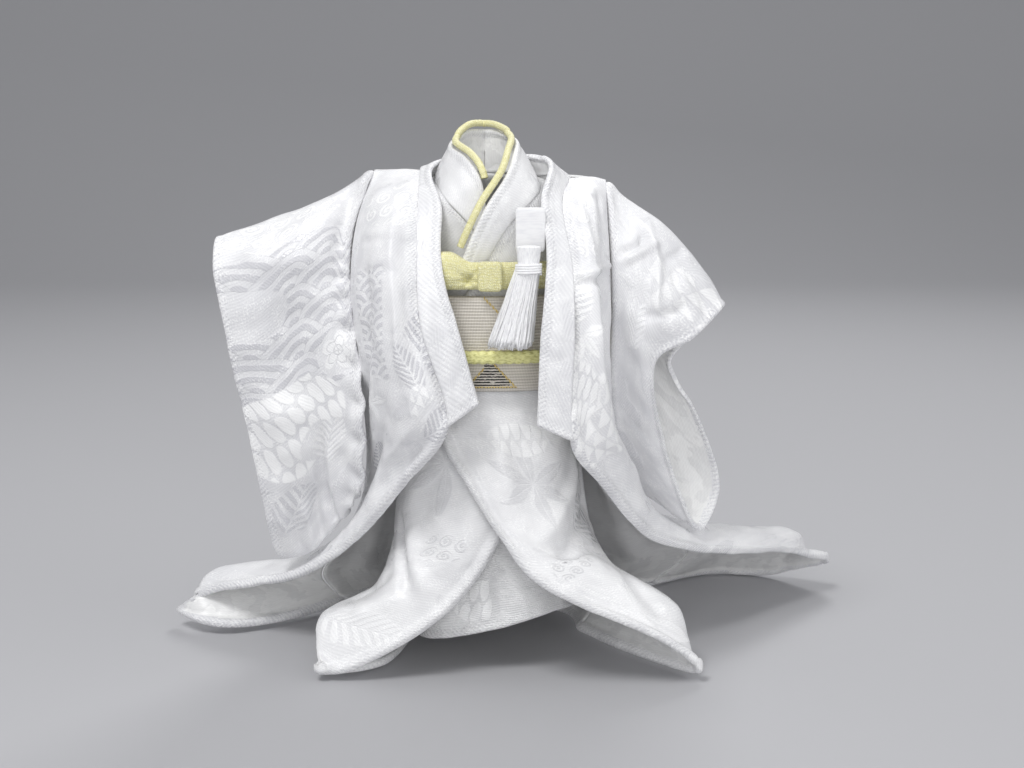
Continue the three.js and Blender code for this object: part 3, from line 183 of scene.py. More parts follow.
SLEEVE_LEFT = table(
    ((17.2, -0.3, -1), (17.2, -3.9, -7), (17.6, -5.8, -17), (17.7, -3.9, -31), (19.2, 1, -43),
     (22.4, 3, -49.4), (22, 4.8, -43), (19.6, 4.4, -31), (19.2, 4.8, -17), (18.6, 4, -8)),
    ((23.2, -1, -5.4), (22.4, -6.6, -11.6), (20.4, -6.4, -21), (20.4, -3.2, -34), (23.6, 0.8, -47),
     (26.6, 3.2, -52.4), (26, 5.4, -47), (23.4, 4.8, -34), (22, 3.6, -21), (23.2, 3, -12)),
    ((29, -1.8, -10.6), (26.2, -7.6, -17.4), (22.2, -7.4, -25), (23.4, -3.4, -38), (27.8, 0.2, -51),
     (30.6, 2.8, -54.6), (31.8, 5.8, -48.6), (28, 5.4, -36), (24.8, 3, -25), (28, 2.2, -17)),
    ((35.4, -2.4, -19.4), (30, -6.8, -24), (24.4, -6.4, -28.2), (26.4, -3.2, -41), (31, 0, -53.6),
     (33.4, 2.6, -56.4), (36.4, 5.6, -49.4), (32.6, 5, -38), (27.8, 2.2, -29.4), (31.8, 0.8, -24)),
)
KIMONO_SLEEVE_RIGHT = table(
    ((-15.6, 0, -4.2), (-15.6, -3.1, -7.7), (-15.6, 0, -11.3), (-15.6, 3.1, -7.7)),
    ((-21, -0.9, -6.2), (-21, -4, -11), (-21, -0.9, -15.8), (-21, 2.2, -11)),
    ((-28, -2.6, -8.2), (-28, -5.7, -14.6), (-28, -2.6, -21), (-28, 0.5, -14.6)),
)
KIMONO_SLEEVE_LEFT = table(
    ((14.2, 0, -4.2), (14.2, -3.1, -7.6), (14.2, 0, -11.1), (14.2, 3.1, -7.6)),
    ((18.4, 0, -6.2), (18.4, -3.1, -10.6), (18.4, 0, -15.2), (18.4, 2.6, -10.6)),
    ((23, -1.4, -9.2), (23, -4.5, -14.4), (22.4, -1.4, -19.6), (23, 1.7, -14.4)),
)
UNDERSKIRT = table(
    ((-0.6, -9.9, -44), (7.6, -7.6, -44), (11.2, 0.4, -44), (8, 7.2, -44), (-0.4, 9.6, -44),
     (-8.8, 7.2, -44), (-12, 0.4, -44), (-8.6, -7.4, -44)),
    ((-0.6, -10.8, -56), (9, -8.2, -56), (12.2, 0.4, -56), (9, 8, -56), (-0.2, 11.2, -56), (-9.8, 8, -56),
     (-13, 0.4, -56), (-9.8, -8.2, -56)),
    ((0.4, -12, -67.6), (10, -9, -65.6), (12.8, 0.4, -68), (9.6, 8.6, -70), (0, 12, -71),
     (-10.4, 8.6, -71), (-13.2, 0.4, -71), (-9.8, -9.2, -70)),
)
BELT = table(
    ((-1, -13.7, -16.8), (8.8, -11.2, -16.8), (13.6, -0.9, -17), (9.6, 8.6, -17), (-1, 12.2, -17),
     (-11.2, 8.6, -17), (-15, -0.9, -17), (-11, -11.2, -16.8)),
    ((-1, -14, -23.6), (8.8, -11.6, -23.6), (13.7, -0.9, -23.6), (9.8, 8.8, -23.6), (-1, 12.4, -23.6),
     (-11.4, 8.8, -23.6), (-15, -0.9, -23.6), (-11, -11.6, -23.6)),
    ((-1, -14.2, -30.6), (9, -11.8, -30.6), (14.2, -0.9, -30.6), (10.2, 9.2, -30.6), (-1, 12.8, -30.6),
     (-11.8, 9.2, -30.6), (-15.4, -0.9, -30.6), (-11.2, -11.8, -30.6)),
)
ROBE_COLLAR = table(
    (4.4, 0.2, 3.2),
    (4.2, 0.1, 2.6),
    (3.7, -0.2, 1.4),
    (3.3, -0.6, 0.2),
    (3.4, -1.2, 0.3),
    (1.7, -0.3, 1),
    (0.8, 0.5, 2.6),
    (0, 0.8, 3.2),
    (-1.6, 0.7, 3.4),
    (-2.6, 0.3, 3.2),
    (-2.8, -1.6, 0.9),
    (-3.1, -0.9, 0.2),
    (-3.9, -0.6, 0.4),
    (-4.5, -0.4, 1.2),
    (-5, -0.2, 2.2),
)
KIMONO_COLLAR = table(
    (-2, 0.2, 3.6),
    (-0.4, 0.4, 4.2),
    (2, 0.9, 5),
    (3.2, 0.8, 5),
    (3.3, 0.8, 5),
    (2, 1.6, 5.4),
    (0.8, 2.3, 6),
    (0, 0.5, 6.3),
    (-1.2, 2.3, 6),
    (-3, 1.6, 5.8),
    (-3.6, 0.2, 4.8),
    (-3.3, -0.4, 3.8),
    (-3.2, -0.8, 2.6),
    (-3.1, -0.8, 1.8),
    (-2.8, -0.6, 1.4),
)

# ---------------------------------------------------------------- curves and surfaces


def smooth(t: Array) -> Array:
    """An even ramp from 0 to 1, with level ends: 3t^2 - 2t^3."""
    held = np.clip(t, 0.0, 1.0)
    return held * held * (3.0 - 2.0 * held)


def unit(vectors: Array) -> Array:
    """The vectors, each divided by its own length."""
    return vectors / np.maximum(np.linalg.norm(vectors, axis=-1, keepdims=True), 1e-9)


def spline(points: Array, t: Array, closed: bool = False) -> Array:
    """Points of uniform Catmull-Rom curves.

    Each point is a cubic blend of the four control points round it. An open curve runs on past its
    ends in a straight line.

    Args:
        points: the control points, (..., n, 3); leading axes are separate curves.
        t: places along the curves from 0 to 1, (..., m).
        closed: True for curves that return to their first point.

    Returns:
        The points, (..., m, 3).
    """
    if closed:
        padded = np.concatenate([points[..., -1:, :], points, points[..., :2, :]], axis=-2)
        spans = points.shape[-2]
        place = np.mod(t, 1.0) * spans
    else:
        before = 2 * points[..., :1, :] - points[..., 1:2, :]
        after = 2 * points[..., -1:, :] - points[..., -2:-1, :]
        padded = np.concatenate([before, points, after], axis=-2)
        spans = points.shape[-2] - 1
        place = np.clip(t, 0.0, 1.0) * spans
    index = np.minimum(place.astype(int), spans - 1)
    batch = np.broadcast_shapes(padded.shape[:-2], index.shape[:-1])
    padded = np.broadcast_to(padded, batch + padded.shape[-2:])
    index = np.broadcast_to(index, batch + index.shape[-1:])
    f = np.broadcast_to(place, index.shape)[..., None] - index[..., None]
    weights = (
        -0.5 * f + f**2 - 0.5 * f**3,
        1 - 2.5 * f**2 + 1.5 * f**3,
        0.5 * f + 2 * f**2 - 1.5 * f**3,
        -0.5 * f**2 + 0.5 * f**3,
    )
    return sum(
        w * np.take_along_axis(padded, (index + k)[..., None], axis=-2) for k, w in enumerate(weights))


@dataclass(frozen=True)
class Lofted:
    """A surface through a table of sections: u runs across a section and v down the rows.

    first gives the line of the first column where it isn't the one through the table.
    """

    sections: Array
    closed: bool = False
    first: Line | None = None

    def column(self, index: int) -> Line:
        """The curve down one column of the table."""
        points = self.sections[:, index]
        return lambda v: spline(points, v)

    def at(self, u: Array, v: Array) -> Array:
        """The points at v down and u across.

        Args:
            u: places across, (m,) for every row alike or (n, m) for each row's own.
            v: places down, (n,).

        Returns:
            The points, (n, m, 3).
        """
        lines = spline(np.swapaxes(np.nan_to_num(self.sections), 0, 1), v[None, :])
        lines = np.swapaxes(lines, 0, 1)
        if self.first is not None:
            lines = np.concatenate([self.first(v)[:, None], lines[:, 1:]], axis=1)
        return spline(lines, np.broadcast_to(u, (len(v), np.shape(u)[-1])), self.closed)


def lengths_along(grid: Array, axis: int) -> Array:
    """The distance run from the start of each line of a grid, along its rows (1) or columns (0)."""
    steps = np.linalg.norm(np.diff(grid, axis=axis), axis=-1)
    start = np.zeros_like(np.take(steps, [0], axis=axis))
    return np.concatenate([start, np.cumsum(steps, axis=axis)], axis=axis)


def normals_of(grid: Array, closed: bool, turn: float) -> Array:
    """The unit normals of a grid: the cross product of its steps across and down, times turn.

    A closed grid's last column lies on its first.
    """
    across = np.gradient(grid, axis=1)
    if closed:
        across[:, 0] = across[:, -1] = grid[:, 1] - grid[:, -2]
    down = np.gradient(grid, axis=0)
    return unit(np.cross(across, down)) * turn


# How the columns or rows of a shell crowd towards a turned edge, in millimetres from it.
CROWDED = np.array([0, 0.05, 0.15, 0.3, 0.5, 0.75, 1.05, 1.4, 1.8, 2.25, 2.75, 3.3])


def spread(length: Array, count: int, first: bool, last: bool) -> Array:
    """Places along lines of given length: crowded at a turned edge and even between.

    Args:
        length: the length of each line, (n,).
        count: how many places each gets.
        first: True where the start is a turned edge.
        last: True where the end is.

    Returns:
        The distances from each line's start, (n, count).
    """
    crowd = CROWDED * np.minimum(length / 12.0, 1.0)[:, None]
    head = crowd if first else crowd[:, :1]
    tail = length[:, None] - (crowd if last else crowd[:, :1])[:, ::-1]
    middle = count - head.shape[1] - tail.shape[1]
    share = np.arange(1, middle + 1) / (middle + 1)
    between = head[:, -1:] + (tail[:, :1] - head[:, -1:]) * share
    return np.concatenate([head, between, tail], axis=1)


def place_at(lengths: Array, places: Array, wanted: Array) -> Array:
    """The place on each line where it has run a wanted length, by straight steps between samples.

    Args:
        lengths: the distance run at each sample, (n, k), rising.
        places: the samples' own places, (k,).
        wanted: the wanted distances, (n, m).

    Returns:
        The places, (n, m).
    """
    index = (lengths[:, None, 1:-1] <= wanted[:, :, None]).sum(axis=-1)
    low, high = (np.take_along_axis(lengths, index + k, axis=1) for k in (0, 1))
    share = np.clip((wanted - low) / np.maximum(high - low, 1e-9), 0, 1)
    return places[index] + share * (places[index + 1] - places[index])


def rounded_corner(grid: Array, normals: Array, radius: float) -> tuple[Array, Array]:
    """The grid and its normals with the corner of its first column and last row rounded.

    The square of points nearer than the radius to both borders is drawn onto a quarter disc:
    x sqrt(1 - y^2 / 2) and y sqrt(1 - x^2 / 2), with 1 at the borders and 0 at the radius.
    """
    rows, columns = grid.shape[:2]
    across = lengths_along(grid[-1:], 1)[0]
    up = lengths_along(grid[::-1, :1], 0)[:, 0]
    x = 1 - np.clip(across / radius, 0, 1)[None, :]
    y = 1 - np.clip(up / radius, 0, 1)[::-1][:, None]
    drawn_x = radius * (1 - x * np.sqrt(1 - y * y / 2))
    drawn_y = radius * (1 - y * np.sqrt(1 - x * x / 2))
    near = (x > 0) & (y > 0)
    column = np.where(near, np.interp(drawn_x, across, np.arange(columns)), np.arange(columns)[None])
    row = np.where(near, rows - 1 - np.interp(drawn_y, up, np.arange(rows)), np.arange(rows)[:, None])
    c, r = np.minimum(column.astype(int), columns - 2), np.minimum(row.astype(int), rows - 2)
    a, b = (column - c)[..., None], (row - r)[..., None]

    def drawn(values: Array) -> Array:
        """The values at the drawn-in places, between the grid's own."""
        upper = values[r, c] * (1 - a) + values[r, c + 1] * a
        lower = values[r + 1, c] * (1 - a) + values[r + 1, c + 1] * a
        return upper * (1 - b) + lower * b

    return drawn(grid), unit(drawn(normals))


def quads_of(numbers: Array) -> Array:
    """The quads of a grid, each as the four numbers at its corners, (n, 4)."""
    corners = [numbers[:-1, :-1], numbers[:-1, 1:], numbers[1:, 1:], numbers[1:, :-1]]
    return np.stack(corners, axis=-1).reshape(-1, 4)


# ---------------------------------------------------------------- cloth shells


@dataclass(frozen=True)
class Crease:
    """A soft ridge or trough laid on a piece along a line of (across, down) places.

    Its lift is height * exp(-(distance / width)^2), and it dies away at both ends.
    """

    line: tuple[Pair, ...]
    width: float
    height: float
    fade: float = 0.25

    def lift(self, grid: Array, surface: Callable[[Array, Array], Array]) -> Array:
        """How far each point of the grid is lifted, in millimetres."""
        t = np.linspace(0.0, 1.0, 40)
        places = np.array(self.line, dtype=float)
        path = spline(np.column_stack([places, np.zeros(len(places))]), t)
        middle = surface(path[:, :1], path[:, 1])[:, 0]
        reach = smooth(t / self.fade) * smooth((1.0 - t) / self.fade)
        near = np.linalg.norm(grid - middle.mean(axis=0), axis=-1)
        far = np.linalg.norm(middle - middle.mean(axis=0), axis=-1).max() + 3.0 * self.width
        lift = np.zeros(grid.shape[:2])
        close = near < far
        gaps = np.linalg.norm(grid[close][:, None] - middle[None], axis=-1)
        lift[close] = self.height * (reach * np.exp(-((gaps / self.width) ** 2))).max(axis=1)
        return lift


SEAM_ROUNDING = 0.14  # the rounding of a border that is sewn to its neighbour, in millimetres


@dataclass(frozen=True)
class Edge:
    """How a border is finished.

    fullness is the roll's extra half thickness and width how wide it is. The roll begins a share
    begins down the border, below a collar that is sewn to it.
    """

    fullness: float = 0.0
    width: float = 2.4
    rounding: float = 0.3
    groove: float = 0.0
    turned: bool = False
    begins: float = 0.0

    def shape(self, distance: Array, down: Array) -> tuple[Array, Array]:
        """The share of the thickness that is left near the border, and what the roll adds.

        The share rises as a quarter circle over the rounding, and the roll is a bump on the width
        with a stitched groove behind it.

        Args:
            distance: how far each point lies from the border.
            down: how far down the piece it lies, from 0 to 1.
        """
        held = smooth((down - self.begins) / 0.03) if self.begins else np.ones_like(down)
        rounding = SEAM_ROUNDING + (self.rounding - SEAM_ROUNDING) * held
        inside = 1.0 - np.clip(distance / rounding, 0.0, 1.0)
        share = np.sqrt(np.maximum(1.0 - inside**2, 0.0))
        roll = self.fullness * np.exp(-(((distance - 0.42 * self.width) / (0.42 * self.width)) ** 2))
        stitched = self.groove * np.exp(-(((distance - 1.05 * self.width) / 0.28) ** 2))
        return share, (roll - stitched) * held


SEAMED = Edge(rounding=SEAM_ROUNDING)
TURNED = Edge(fullness=0.12, width=1.2, rounding=0.45, groove=0.05, turned=True)
ROLLED = Edge(fullness=0.5, width=1.9, rounding=0.7, groove=0.2, turned=True)
FOLDED = Edge(fullness=0.3, width=2.4, rounding=0.6, turned=True)
ROBE_EDGE = Edge(fullness=0.5, width=1.9, rounding=0.7, groove=0.2, turned=True, begins=0.43)
KIMONO_EDGE = Edge(fullness=0.45, width=1.9, rounding=0.7, groove=0.2, turned=True, begins=0.3)


@dataclass
class Shell:
    """A closed shell of cloth over a surface.

    surface(u, v) gives points; turn is -1 where its normals would point inwards. edges names the
    finish of the first and last column and of the top and bottom row.
    """

    name: str
    surface: Callable[[Array, Array], Array]
    turn: float
    columns: int
    rows: int
    closed: bool = False
    edges: dict[str, Edge] = field(default_factory=dict)
    creases: tuple[Crease, ...] = ()
    folds: tuple[dict, ...] = ()
    ripple: float = 0.06
    half: float = CLOTH
    corner: float = 0.0
    seed: int = 1

    def edge(self, side: str) -> Edge:
        """The finish of one border."""
        return self.edges.get(side, SEAMED)

    def grid(self) -> tuple[Array, Array, Array]:
        """The points of the shell's outer side, with their places.

        Each row is shared out by its own length, so the points stand close at a turned edge and
        evenly between.

        Returns:
            The points (n, m, 3), their u (n, m) and their v (n,).
        """
        fine = np.linspace(0.0, 1.0, 161)
        drops = lengths_along(self.surface(fine[::20], fine), 0).mean(axis=1)
        wanted = spread(drops[-1:], self.rows, self.edge("top").turned, self.edge("bottom").turned)
        v = place_at(drops[None], fine, wanted)[0]
        runs = lengths_along(self.surface(fine, v), 1)
        wanted = spread(runs[:, -1], self.columns, self.edge("first").turned, self.edge("last").turned)
        u = place_at(runs, fine, wanted)
        return self.surface(u, v), u, v

    def lifted(self, grid: Array, u: Array, v: Array) -> Array:
        """The grid with its folds, creases and small ripples, pushed along its normals."""
        lift = np.zeros(grid.shape[:2])
        down = np.broadcast_to(v[:, None], lift.shape)
        for fold in self.folds:
            middle = fold["at"] + (fold["to"] - fold["at"]) * down
            reach = smooth((down - fold["from"]) / 0.15) * smooth((fold["until"] - down) / 0.15)
            lift += fold["depth"] * reach * np.exp(-(((u - middle) / fold["width"]) ** 2))
        for crease in self.creases:
            lift += crease.lift(grid, self.surface)
        rng = np.random.default_rng(self.seed)
        for size in (9.0, 5.5, 3.4, 2.2):
            waves = rng.normal(size=(3, 3))
            turns = grid @ (waves / np.linalg.norm(waves, axis=0)) * (2 * np.pi / size)
            lift += self.ripple * (size / 9.0) * np.sin(turns + rng.uniform(0, 6.28, 3)).sum(axis=-1)
        loose = self.loose(grid)
        return grid + normals_of(grid, self.closed, self.turn) * (lift * loose)[..., None]

    def loose(self, grid: Array) -> Array:
        """How free the cloth is to leave its surface: 0 at a sewn seam and 1 a little way in."""
        return np.minimum.reduce([
            np.ones(grid.shape[:2]) if self.edge(side).turned or (self.closed and side in ("first", "last"))
            else smooth(distance / 2.5)
            for side, distance in self.distances(grid).items()
        ])

    def distances(self, grid: Array) -> dict[str, Array]:
        """How far each point lies from each border, along its row or column."""
        across, down = lengths_along(grid, 1), lengths_along(grid, 0)
        return {
            "first": across,
            "last": across[:, -1:] - across,
            "top": down,
            "bottom": down[-1:] - down,
        }

    def flat_places(self, grid: Array) -> Array:
        """Where each point lies on the cloth before it was hung, in millimetres.

        Down is the run of the middle column; across is the run along a row from that column.
        """
        across, down = lengths_along(grid, 1), lengths_along(grid, 0)
        middle = grid.shape[1] // 2
        return np.stack([across - across[:, middle : middle + 1], -np.broadcast_to(
            down[:, middle : middle + 1], across.shape)], axis=-1)

    def build(self, finishes: list[Material]) -> bpy.types.Object:
        """The shell as an object: its face side, its lining side, and edges that close it.

        Args:
            finishes: the materials of the face and of the lining.

        Returns:
            The object, its points in metres.
        """
        base, u, v = self.grid()
        middle = self.lifted(base, u, v)
        normals = normals_of(middle, self.closed, self.turn)
        if self.corner:
            middle, normals = rounded_corner(middle, normals, self.corner)
        sides = ["top", "bottom"] if self.closed else ["first", "last", "top", "bottom"]
        far = self.distances(middle)
        down = np.broadcast_to(v[:, None], base.shape[:2])
        shapes = {side: self.edge(side).shape(far[side], down) for side in sides}
        share = np.minimum.reduce([shapes[side][0] for side in sides])
        extra = sum(shapes[side][1] for side in sides)
        half = (share * (self.half + np.clip(extra, -0.15, 0.6)))[..., None]
        sunk = middle - normals * (self.half + SKIN)
        outer, inner = sunk + normals * half, sunk - normals * half
        turned = np.minimum.reduce([
            far[side] if self.edge(side).turned else np.full(share.shape, 99.0) for side in sides])
        return self.sewn(outer, inner, turned, self.flat_places(middle), finishes)

    def sewn(self, outer: Array, inner: Array, turned: Array, flat: Array,
             finishes: list[Material]) -> bpy.types.Object:
        """The mesh of the two sides, joined at the borders, where they share their points."""
        rows, columns = outer.shape[:2]
        border = np.zeros((rows, columns), dtype=bool)
        border[0], border[-1] = True, True
        ident = np.arange(rows * columns).reshape(rows, columns)
        if self.closed:
            ident[:, -1] = ident[:, 0]
        else:
            border[:, 0], border[:, -1] = True, True
        own = ~border
        if self.closed:
            own[:, -1] = False
        inner_ident = ident.copy()
        inner_ident[own] = rows * columns + np.arange(own.sum())
        if self.closed:
            inner_ident[:, -1] = inner_ident[:, 0]
        points = np.concatenate([outer.reshape(-1, 3), inner[own]])
        flip = slice(None) if self.turn > 0 else slice(None, None, -1)
        back = slice(None, None, -1) if self.turn > 0 else slice(None)
        places = np.arange(rows * columns).reshape(rows, columns)
        faces = np.concatenate([quads_of(ident)[:, flip], quads_of(inner_ident)[:, back]])
        corners = np.concatenate([quads_of(places)[:, flip], quads_of(places)[:, back]])
        lining = quads_of(turned).min(axis=1) > 1.3
        kinds = np.concatenate([np.zeros(len(lining), dtype=int), lining.astype(int)])
        edge = np.concatenate([turned.ravel(), turned[own]])
        return put_mesh(self.name, points, faces, flat.reshape(-1, 2)[corners], finishes, kinds, edge)


def put_mesh(name: str, points: Array, faces: Array, flat: Array | None,
             finishes: list[Material], kinds: Array | None = None,
             edge: Array | None = None) -> bpy.types.Object:
    """An object from arrays of points, in millimetres, and of quads.

    Args:
        name: the object's name.
        points: (n, 3); points that no face uses are left out.
        faces: (m, 4) numbers of points; a quad that names a point twice in a row becomes a triangle.
        flat: (m, 4, 2) places on the cloth of each face's corners, in millimetres.
        finishes: the materials.
        kinds: (m,) which material each face takes.
        edge: (n,) how far each point lies from a turned edge, in millimetres.

    Returns:
        The object, smooth shaded, at the origin.
    """
    used, renumbered = np.unique(faces, return_inverse=True)
    renumbered = renumbered.reshape(faces.shape)
    kept = renumbered != np.roll(renumbered, 1, axis=1)
    totals = kept.sum(axis=1)
    starts = np.concatenate([[0], np.cumsum(totals)[:-1]])
    mesh = bpy.data.meshes.new(name)
    mesh.vertices.add(len(used))
    mesh.vertices.foreach_set("co", (points[used] * MM).ravel())
    mesh.loops.add(int(totals.sum()))
    mesh.loops.foreach_set("vertex_index", renumbered[kept].astype(np.int32))
    mesh.polygons.add(len(faces))
    mesh.polygons.foreach_set("loop_start", starts.astype(np.int32))
    mesh.polygons.foreach_set("loop_total", totals.astype(np.int32))
    if flat is not None:
        layer = mesh.uv_layers.new(name="cloth")
        layer.data.foreach_set("uv", (flat[kept] / UV_SPAN).ravel())
    for finish in finishes:
        mesh.materials.append(finish)
    if kinds is not None:
        mesh.polygons.foreach_set("material_index", kinds.astype(np.int32))
    mesh.polygons.foreach_set("use_smooth", np.ones(len(faces), dtype=bool))
    if edge is not None:
        depths = mesh.attributes.new("edge", "FLOAT", "POINT").data
        depths.foreach_set("value", edge[used].astype(np.float32))
    mesh.update(calc_edges=True)
    piece = bpy.data.objects.new(name, mesh)
    bpy.context.scene.collection.objects.link(piece)
    return piece


def full_turn(count: int) -> Array:
    """The angles of a full turn in even steps."""
    return np.linspace(0, 2 * np.pi, count + 1)[:-1]


def alike(direction: list[float], points: Array) -> Array:
    """The same direction at every point."""
    return np.broadcast_to(direction, points.shape)


def run_along(line: Array) -> Array:
    """How far along a line each of its points lies."""
    return np.concatenate([[0], np.cumsum(np.linalg.norm(np.diff(line, axis=0), axis=1))])


def carried(centres: Array, across: Array, up: Array, profile: Array,
            ring: bool) -> tuple[Array, Array, Array]:
    """A profile carried along a path: each ring is centre + across * x + up * y.

    Args:
        centres: the path's points, (n, 3).
        across: unit directions of the profile's x, (n, 3).
        up: unit directions of its y, (n, 3).
        profile: the ring's points, (m, 2) or (n, m, 2), run so that its faces point out.
        ring: True for a path that returns to its start; otherwise both ends are closed by a cap.

    Returns:
        The points, the quads, and the flat places of the quads' corners, in millimetres.
    """
    count = len(centres)
    shape = np.broadcast_to(profile, (count,) + np.shape(profile)[-2:])
    rings = centres[:, None] + across[:, None] * shape[..., :1] + up[:, None] * shape[..., 1:]
    sides = rings.shape[1]
    if not ring:
        caps = np.broadcast_to(rings[[0, -1]].mean(axis=1, keepdims=True), (2, sides, 3))
        rings = np.concatenate([caps[:1], rings, caps[1:]])
    total = len(rings)
    ident = np.arange(total * sides).reshape(total, sides)
    if not ring:
        ident[0], ident[-1] = ident[0, 0], ident[-1, 0]
    ident = np.concatenate([ident, ident[:1]]) if ring else ident
    faces = quads_of(np.concatenate([ident, ident[:, :1]], axis=1))
    closed = np.concatenate([rings, rings[:1]]) if ring else rings
    looped = np.concatenate([closed, closed[:, :1]], axis=1)
    run = lengths_along(looped, 0).mean(axis=1)
    girth = lengths_along(looped, 1).mean(axis=0)
    flat = np.stack(np.broadcast_arrays(girth[None, :], run[:, None]), axis=-1).reshape(-1, 2)
    places = quads_of(np.arange(len(flat)).reshape(len(run), len(girth)))
    return rings.reshape(-1, 3), faces, flat[places]


def dressed(piece: bpy.types.Object, nodes: tuple[str, ...]) -> bpy.types.Object:
    """Sets a piece on the body, in place of the solids it stands for, and reports it."""
    if nodes:
        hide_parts(*nodes)
    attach(piece, "root")
    log.info("%s: %d faces", piece.name, len(piece.data.polygons))
    return piece

# ---------------------------------------------------------------- finishes


def linear(red: int, green: int, blue: int) -> tuple[float, float, float, float]:
    """A shade given as on a paint card, from 0 to 255, as the light it sends back."""

    def channel(value: int) -> float:
        """One channel from the card's scale to light."""
        share = value / 255.0
        return share / 12.92 if share <= 0.04045 else ((share + 0.055) / 1.055) ** 2.4

    return (channel(red), channel(green), channel(blue), 1.0)


class Field:
    """A number that a finish works out at each point; sums on it become nodes."""

    def __init__(self, socket: bpy.types.NodeSocket) -> None:
        """Wraps a node's output."""
        self.socket = socket

    def act(self, operation: str, *others: "Field | float", clamp: bool = False) -> "Field":
        """The result of one of the Math node's operations on this and the others."""
        tree = self.socket.id_data
        node = tree.nodes.new("ShaderNodeMath")
        node.operation, node.use_clamp = operation, clamp
        for socket, value in zip(node.inputs, (self, *others)):
            if isinstance(value, Field):
                tree.links.new(value.socket, socket)
            else:
                socket.default_value = value
        return Field(node.outputs[0])

    def __add__(self, other: "Field | float") -> "Field":
        """The sum."""
        return self.act("ADD", other)

    def __sub__(self, other: "Field | float") -> "Field":
        """The difference."""
        return self.act("SUBTRACT", other)

    def __rsub__(self, other: float) -> "Field":
        """The difference from a plain number."""
        return self.act("MULTIPLY_ADD", -1.0, other)

    def __mul__(self, other: "Field | float") -> "Field":
        """The product."""
        return self.act("MULTIPLY", other)

    def __truediv__(self, other: "Field | float") -> "Field":
        """The quotient."""
        return self.act("DIVIDE", other)

    def ramp(self, low: float, high: float) -> "Field":
        """0 below low, 1 above high and even between; it falls where high is the smaller."""
        return self.act("MULTIPLY_ADD", 1.0 / (high - low), -low / (high - low), clamp=True)

    def blend(self, other: "Field | float", share: "Field") -> "Field":
        """This where share is 0 and the other where it is 1."""
        gap = (other - self) if isinstance(other, Field) else self.act("MULTIPLY_ADD", -1.0, other)
        return gap.act("MULTIPLY_ADD", share, self)

    def wave(self, pitch: float) -> "Field":
        """A sine of this, from 0 to 1, that comes round every pitch."""
        return (self * (2 * math.pi / pitch)).act("SINE").act("MULTIPLY_ADD", 0.5, 0.5)

    def centred(self, pitch: float) -> "Field":
        """The distance from the nearest whole multiple of pitch, with its sign."""
        return self - (self / pitch).act("ROUND") * pitch


def lengthwise(x: Field, y: Field) -> Field:
    """The distance from the origin: the square root of x^2 + y^2."""
    return (x * x).act("ADD", y * y).act("SQRT")


class Weave(Enum):
    """The figures that a patch of damask may have."""

    WAVES = "overlapping wave scales"
    LEAVES = "a fan of pointed leaves"
    FERN = "strokes that slant from both sides of a stem"
    PLUMES = "rows of long rounded strokes"
    LATTICE = "a slanting lattice with filled triangles"
    BLOSSOM = "a round blossom with ringed petals"
    SCROLLS = "small curls"
    PLAIN = "no figure"


SOFT = 0.16  # half the width of a figure's edge, in millimetres


def waves(x: Field, y: Field, pitch: float) -> Field:
    """Overlapping discs in rows half a radius apart, each row half a disc to the side.

    The lowest disc over a point shows. Its figure is three rings.
    """
    row = (y / (pitch / 2)).act("FLOOR")
    gaps = []
    for step in (-1, 0, 1):
        here = row + step
        aside = (here * 0.5).act("FRACT") * (2 * pitch)
        gaps.append(lengthwise((x - aside).centred(2 * pitch), y - here * (pitch / 2)))
    low, middle, high = gaps
    shown = high.blend(middle, middle.act("LESS_THAN", pitch)).blend(low, low.act("LESS_THAN", pitch))
    return shown.wave(pitch / 3.0).ramp(0.32, 0.62)


def leaves(x: Field, y: Field, pitch: float) -> Field:
    """Pointed leaves round a centre, each as wide as a sine from its root to its tip.

    Every other leaf is shorter.
    """
    count = 6
    radius = lengthwise(x, y)
    turned = y.act("ARCTAN2", x)
    angle = turned.centred(2 * math.pi / count)
    aside = (angle * radius).act("ABSOLUTE")
    reach = (turned * 1.5).act("SINE").act("MULTIPLY_ADD", 0.4 * pitch, 2.0 * pitch)
    along = (radius / reach).act("MINIMUM", 1.0)
    width = (along * math.pi).act("SINE") * (0.3 * pitch)
    return (width - aside).ramp(-SOFT, SOFT) * aside.ramp(-0.1, 0.16)


def fern(x: Field, y: Field, pitch: float) -> Field:
    """Strokes that rise from both sides of a stem, inside a pointed outline five pitches tall."""
    aside = x.act("ABSOLUTE")
    strokes = (y - aside * 0.9).wave(0.55 * pitch).ramp(0.3, 0.6)
    along = (y / (5.0 * pitch) + 0.5).act("MINIMUM", 1.0).act("MAXIMUM", 0.0)
    outline = ((along * math.pi).act("SINE") * (1.3 * pitch) - aside).ramp(-SOFT, SOFT)
    return strokes * outline * aside.ramp(0.05, 0.2)


def plumes(x: Field, y: Field, pitch: float) -> Field:
    """Long strokes with round ends in rows that spread: a brick pattern of ellipses, split by ribs."""
    bent = x + (y * y) * (0.025 / pitch)
    spread_out = bent / (1.0 - y * (0.03 / pitch))
    row = (y / (2.6 * pitch)).act("FLOOR")
    across = (spread_out + (row * 0.5).act("FRACT") * pitch).centred(pitch) / (0.45 * pitch)
    down = (y - row * (2.6 * pitch)) / (1.3 * pitch) - 1.0
    return lengthwise(across, down).ramp(1.04, 0.9)


def lattice(x: Field, y: Field, pitch: float) -> Field:
    """Squares set on their points, each split into a filled and an open triangle, between thin bars."""
    right = (x + y) / (1.414 * pitch)
    left = (x - y) / (1.414 * pitch)
    share_right, share_left = right.act("FRACT"), left.act("FRACT")
    filled = (share_right + share_left).ramp(0.96, 1.04)
    bars = share_right.act("MINIMUM", share_left).ramp(0.1, 0.16)
    return filled * bars


